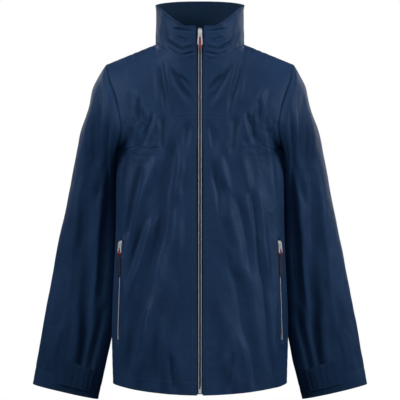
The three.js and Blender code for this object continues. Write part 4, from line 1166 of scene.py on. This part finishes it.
# hanger loop: tape folded to a flat strap between its two sewn feet
strap = dict(slack=0.1, cornerRadius=3.0, cornerCut=0.29, nearSide=4, wide=8, grid=(120, 10), thickness=1.4)


def strapPlace(u, v):
    half, rise = hanger["width"] / 2 - strap["slack"], hanger["height"] - strap["slack"]
    total = 2 * rise + 2 * half
    run = u * total
    x = np.where(run < rise, half, np.where(run < rise + 2 * half, half - (run - rise), -half))
    z = np.where(run < rise, run, np.where(run < rise + 2 * half, rise, total - run))
    near = np.minimum(np.abs(run - rise), np.abs(run - rise - 2 * half))
    radius = strap["cornerRadius"]
    cut = strap["cornerCut"] * radius * np.clip(1 - near / radius, 0, 1) ** 2
    y = hangerY + strap["nearSide"] - strap["wide"] * v
    return np.stack([x - np.sign(x) * cut, y, z - cut - hanger["drop"]], axis=-1)


loop = makeSheet("hangerStrap", strapPlace, lambda u, v, base: 0 * u, *strap["grid"], zipTapeWeave,
                 thickness=strap["thickness"])
placePiece(loop, "torso", ["hanger_loop"])
print("hardware done")

# stage
studio = dict(floorZ=-0.82, floorSize=40, lens=137.1, sensor=36, cameraY=-3.253, cameraZ=-0.3299)
# each light's place, the height it aims at, its size and its power
lights = dict(key=((-2.5, -1.5, 1.1), -0.3, 1.2, 37), side=((2.5, -1.3, 0.6), -0.4, 1.2, 35),
              front=((-0.3, -3.4, 0.7), -0.3, 1.8, 14), top=((0, -0.4, 2.4), -0.3, 1.6, 18),
              backLeft=((-2.2, 2.2, 1.0), -0.3, 1.6, 15), backRight=((2.2, 2.0, 0.6), -0.3, 1.6, 15))
bm = bmesh.new()
bmesh.ops.create_grid(bm, x_segments=4, y_segments=4, size=studio["floorSize"] / 2,
                      matrix=Matrix.Translation((0, 0, studio["floorZ"])))
paper, tree = startMaterial("white studio paper")
glow = addNode(tree, "ShaderNodeEmission", {"Color": (1, 1, 1, 1), "Strength": 1.0})
addNode(tree, "ShaderNodeOutputMaterial", {}, {"Surface": glow.outputs["Emission"]})
floor = meshPiece("floor", bm, paper, smoothShade=False)
floor.visible_diffuse = False
floor.visible_glossy = False
floor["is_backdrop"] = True

world = bpy.data.worlds.new("studio")
bpy.context.scene.world = world
world.use_nodes = True
background = world.node_tree.nodes["Background"]
background.inputs["Color"].default_value = (1, 1, 1, 1)
background.inputs["Strength"].default_value = 1.0
world.cycles_visibility.diffuse = False
world.cycles_visibility.glossy = False

for name, (place, aim, size, power) in lights.items():
    light = bpy.data.lights.new(name, "AREA")
    light.energy, light.size, light.shape = power, size, "SQUARE"
    thing = bpy.data.objects.new(name, light)
    thing.location = place
    thing.rotation_euler = (Vector((0, 0, aim)) - Vector(place)).to_track_quat("-Z", "Y").to_euler()
    bpy.context.collection.objects.link(thing)

bpy.context.scene.view_settings.view_transform = "Standard"
camera = bpy.data.objects.new("camera", bpy.data.cameras.new("camera"))
camera.location = (0, studio["cameraY"], studio["cameraZ"])
camera.rotation_euler = (math.radians(90), 0, 0)
camera.data.lens, camera.data.sensor_width = studio["lens"], studio["sensor"]
camera.data.clip_start, camera.data.clip_end = 0.1, 100
bpy.context.collection.objects.link(camera)
bpy.context.scene.camera = camera

bpy.context.view_layer.update()
plain = lambda bounds: [[float(c) for c in corner] for corner in bounds]
{"cad": plain(cadBounds), "visual": plain(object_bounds())}
print("scene ready")
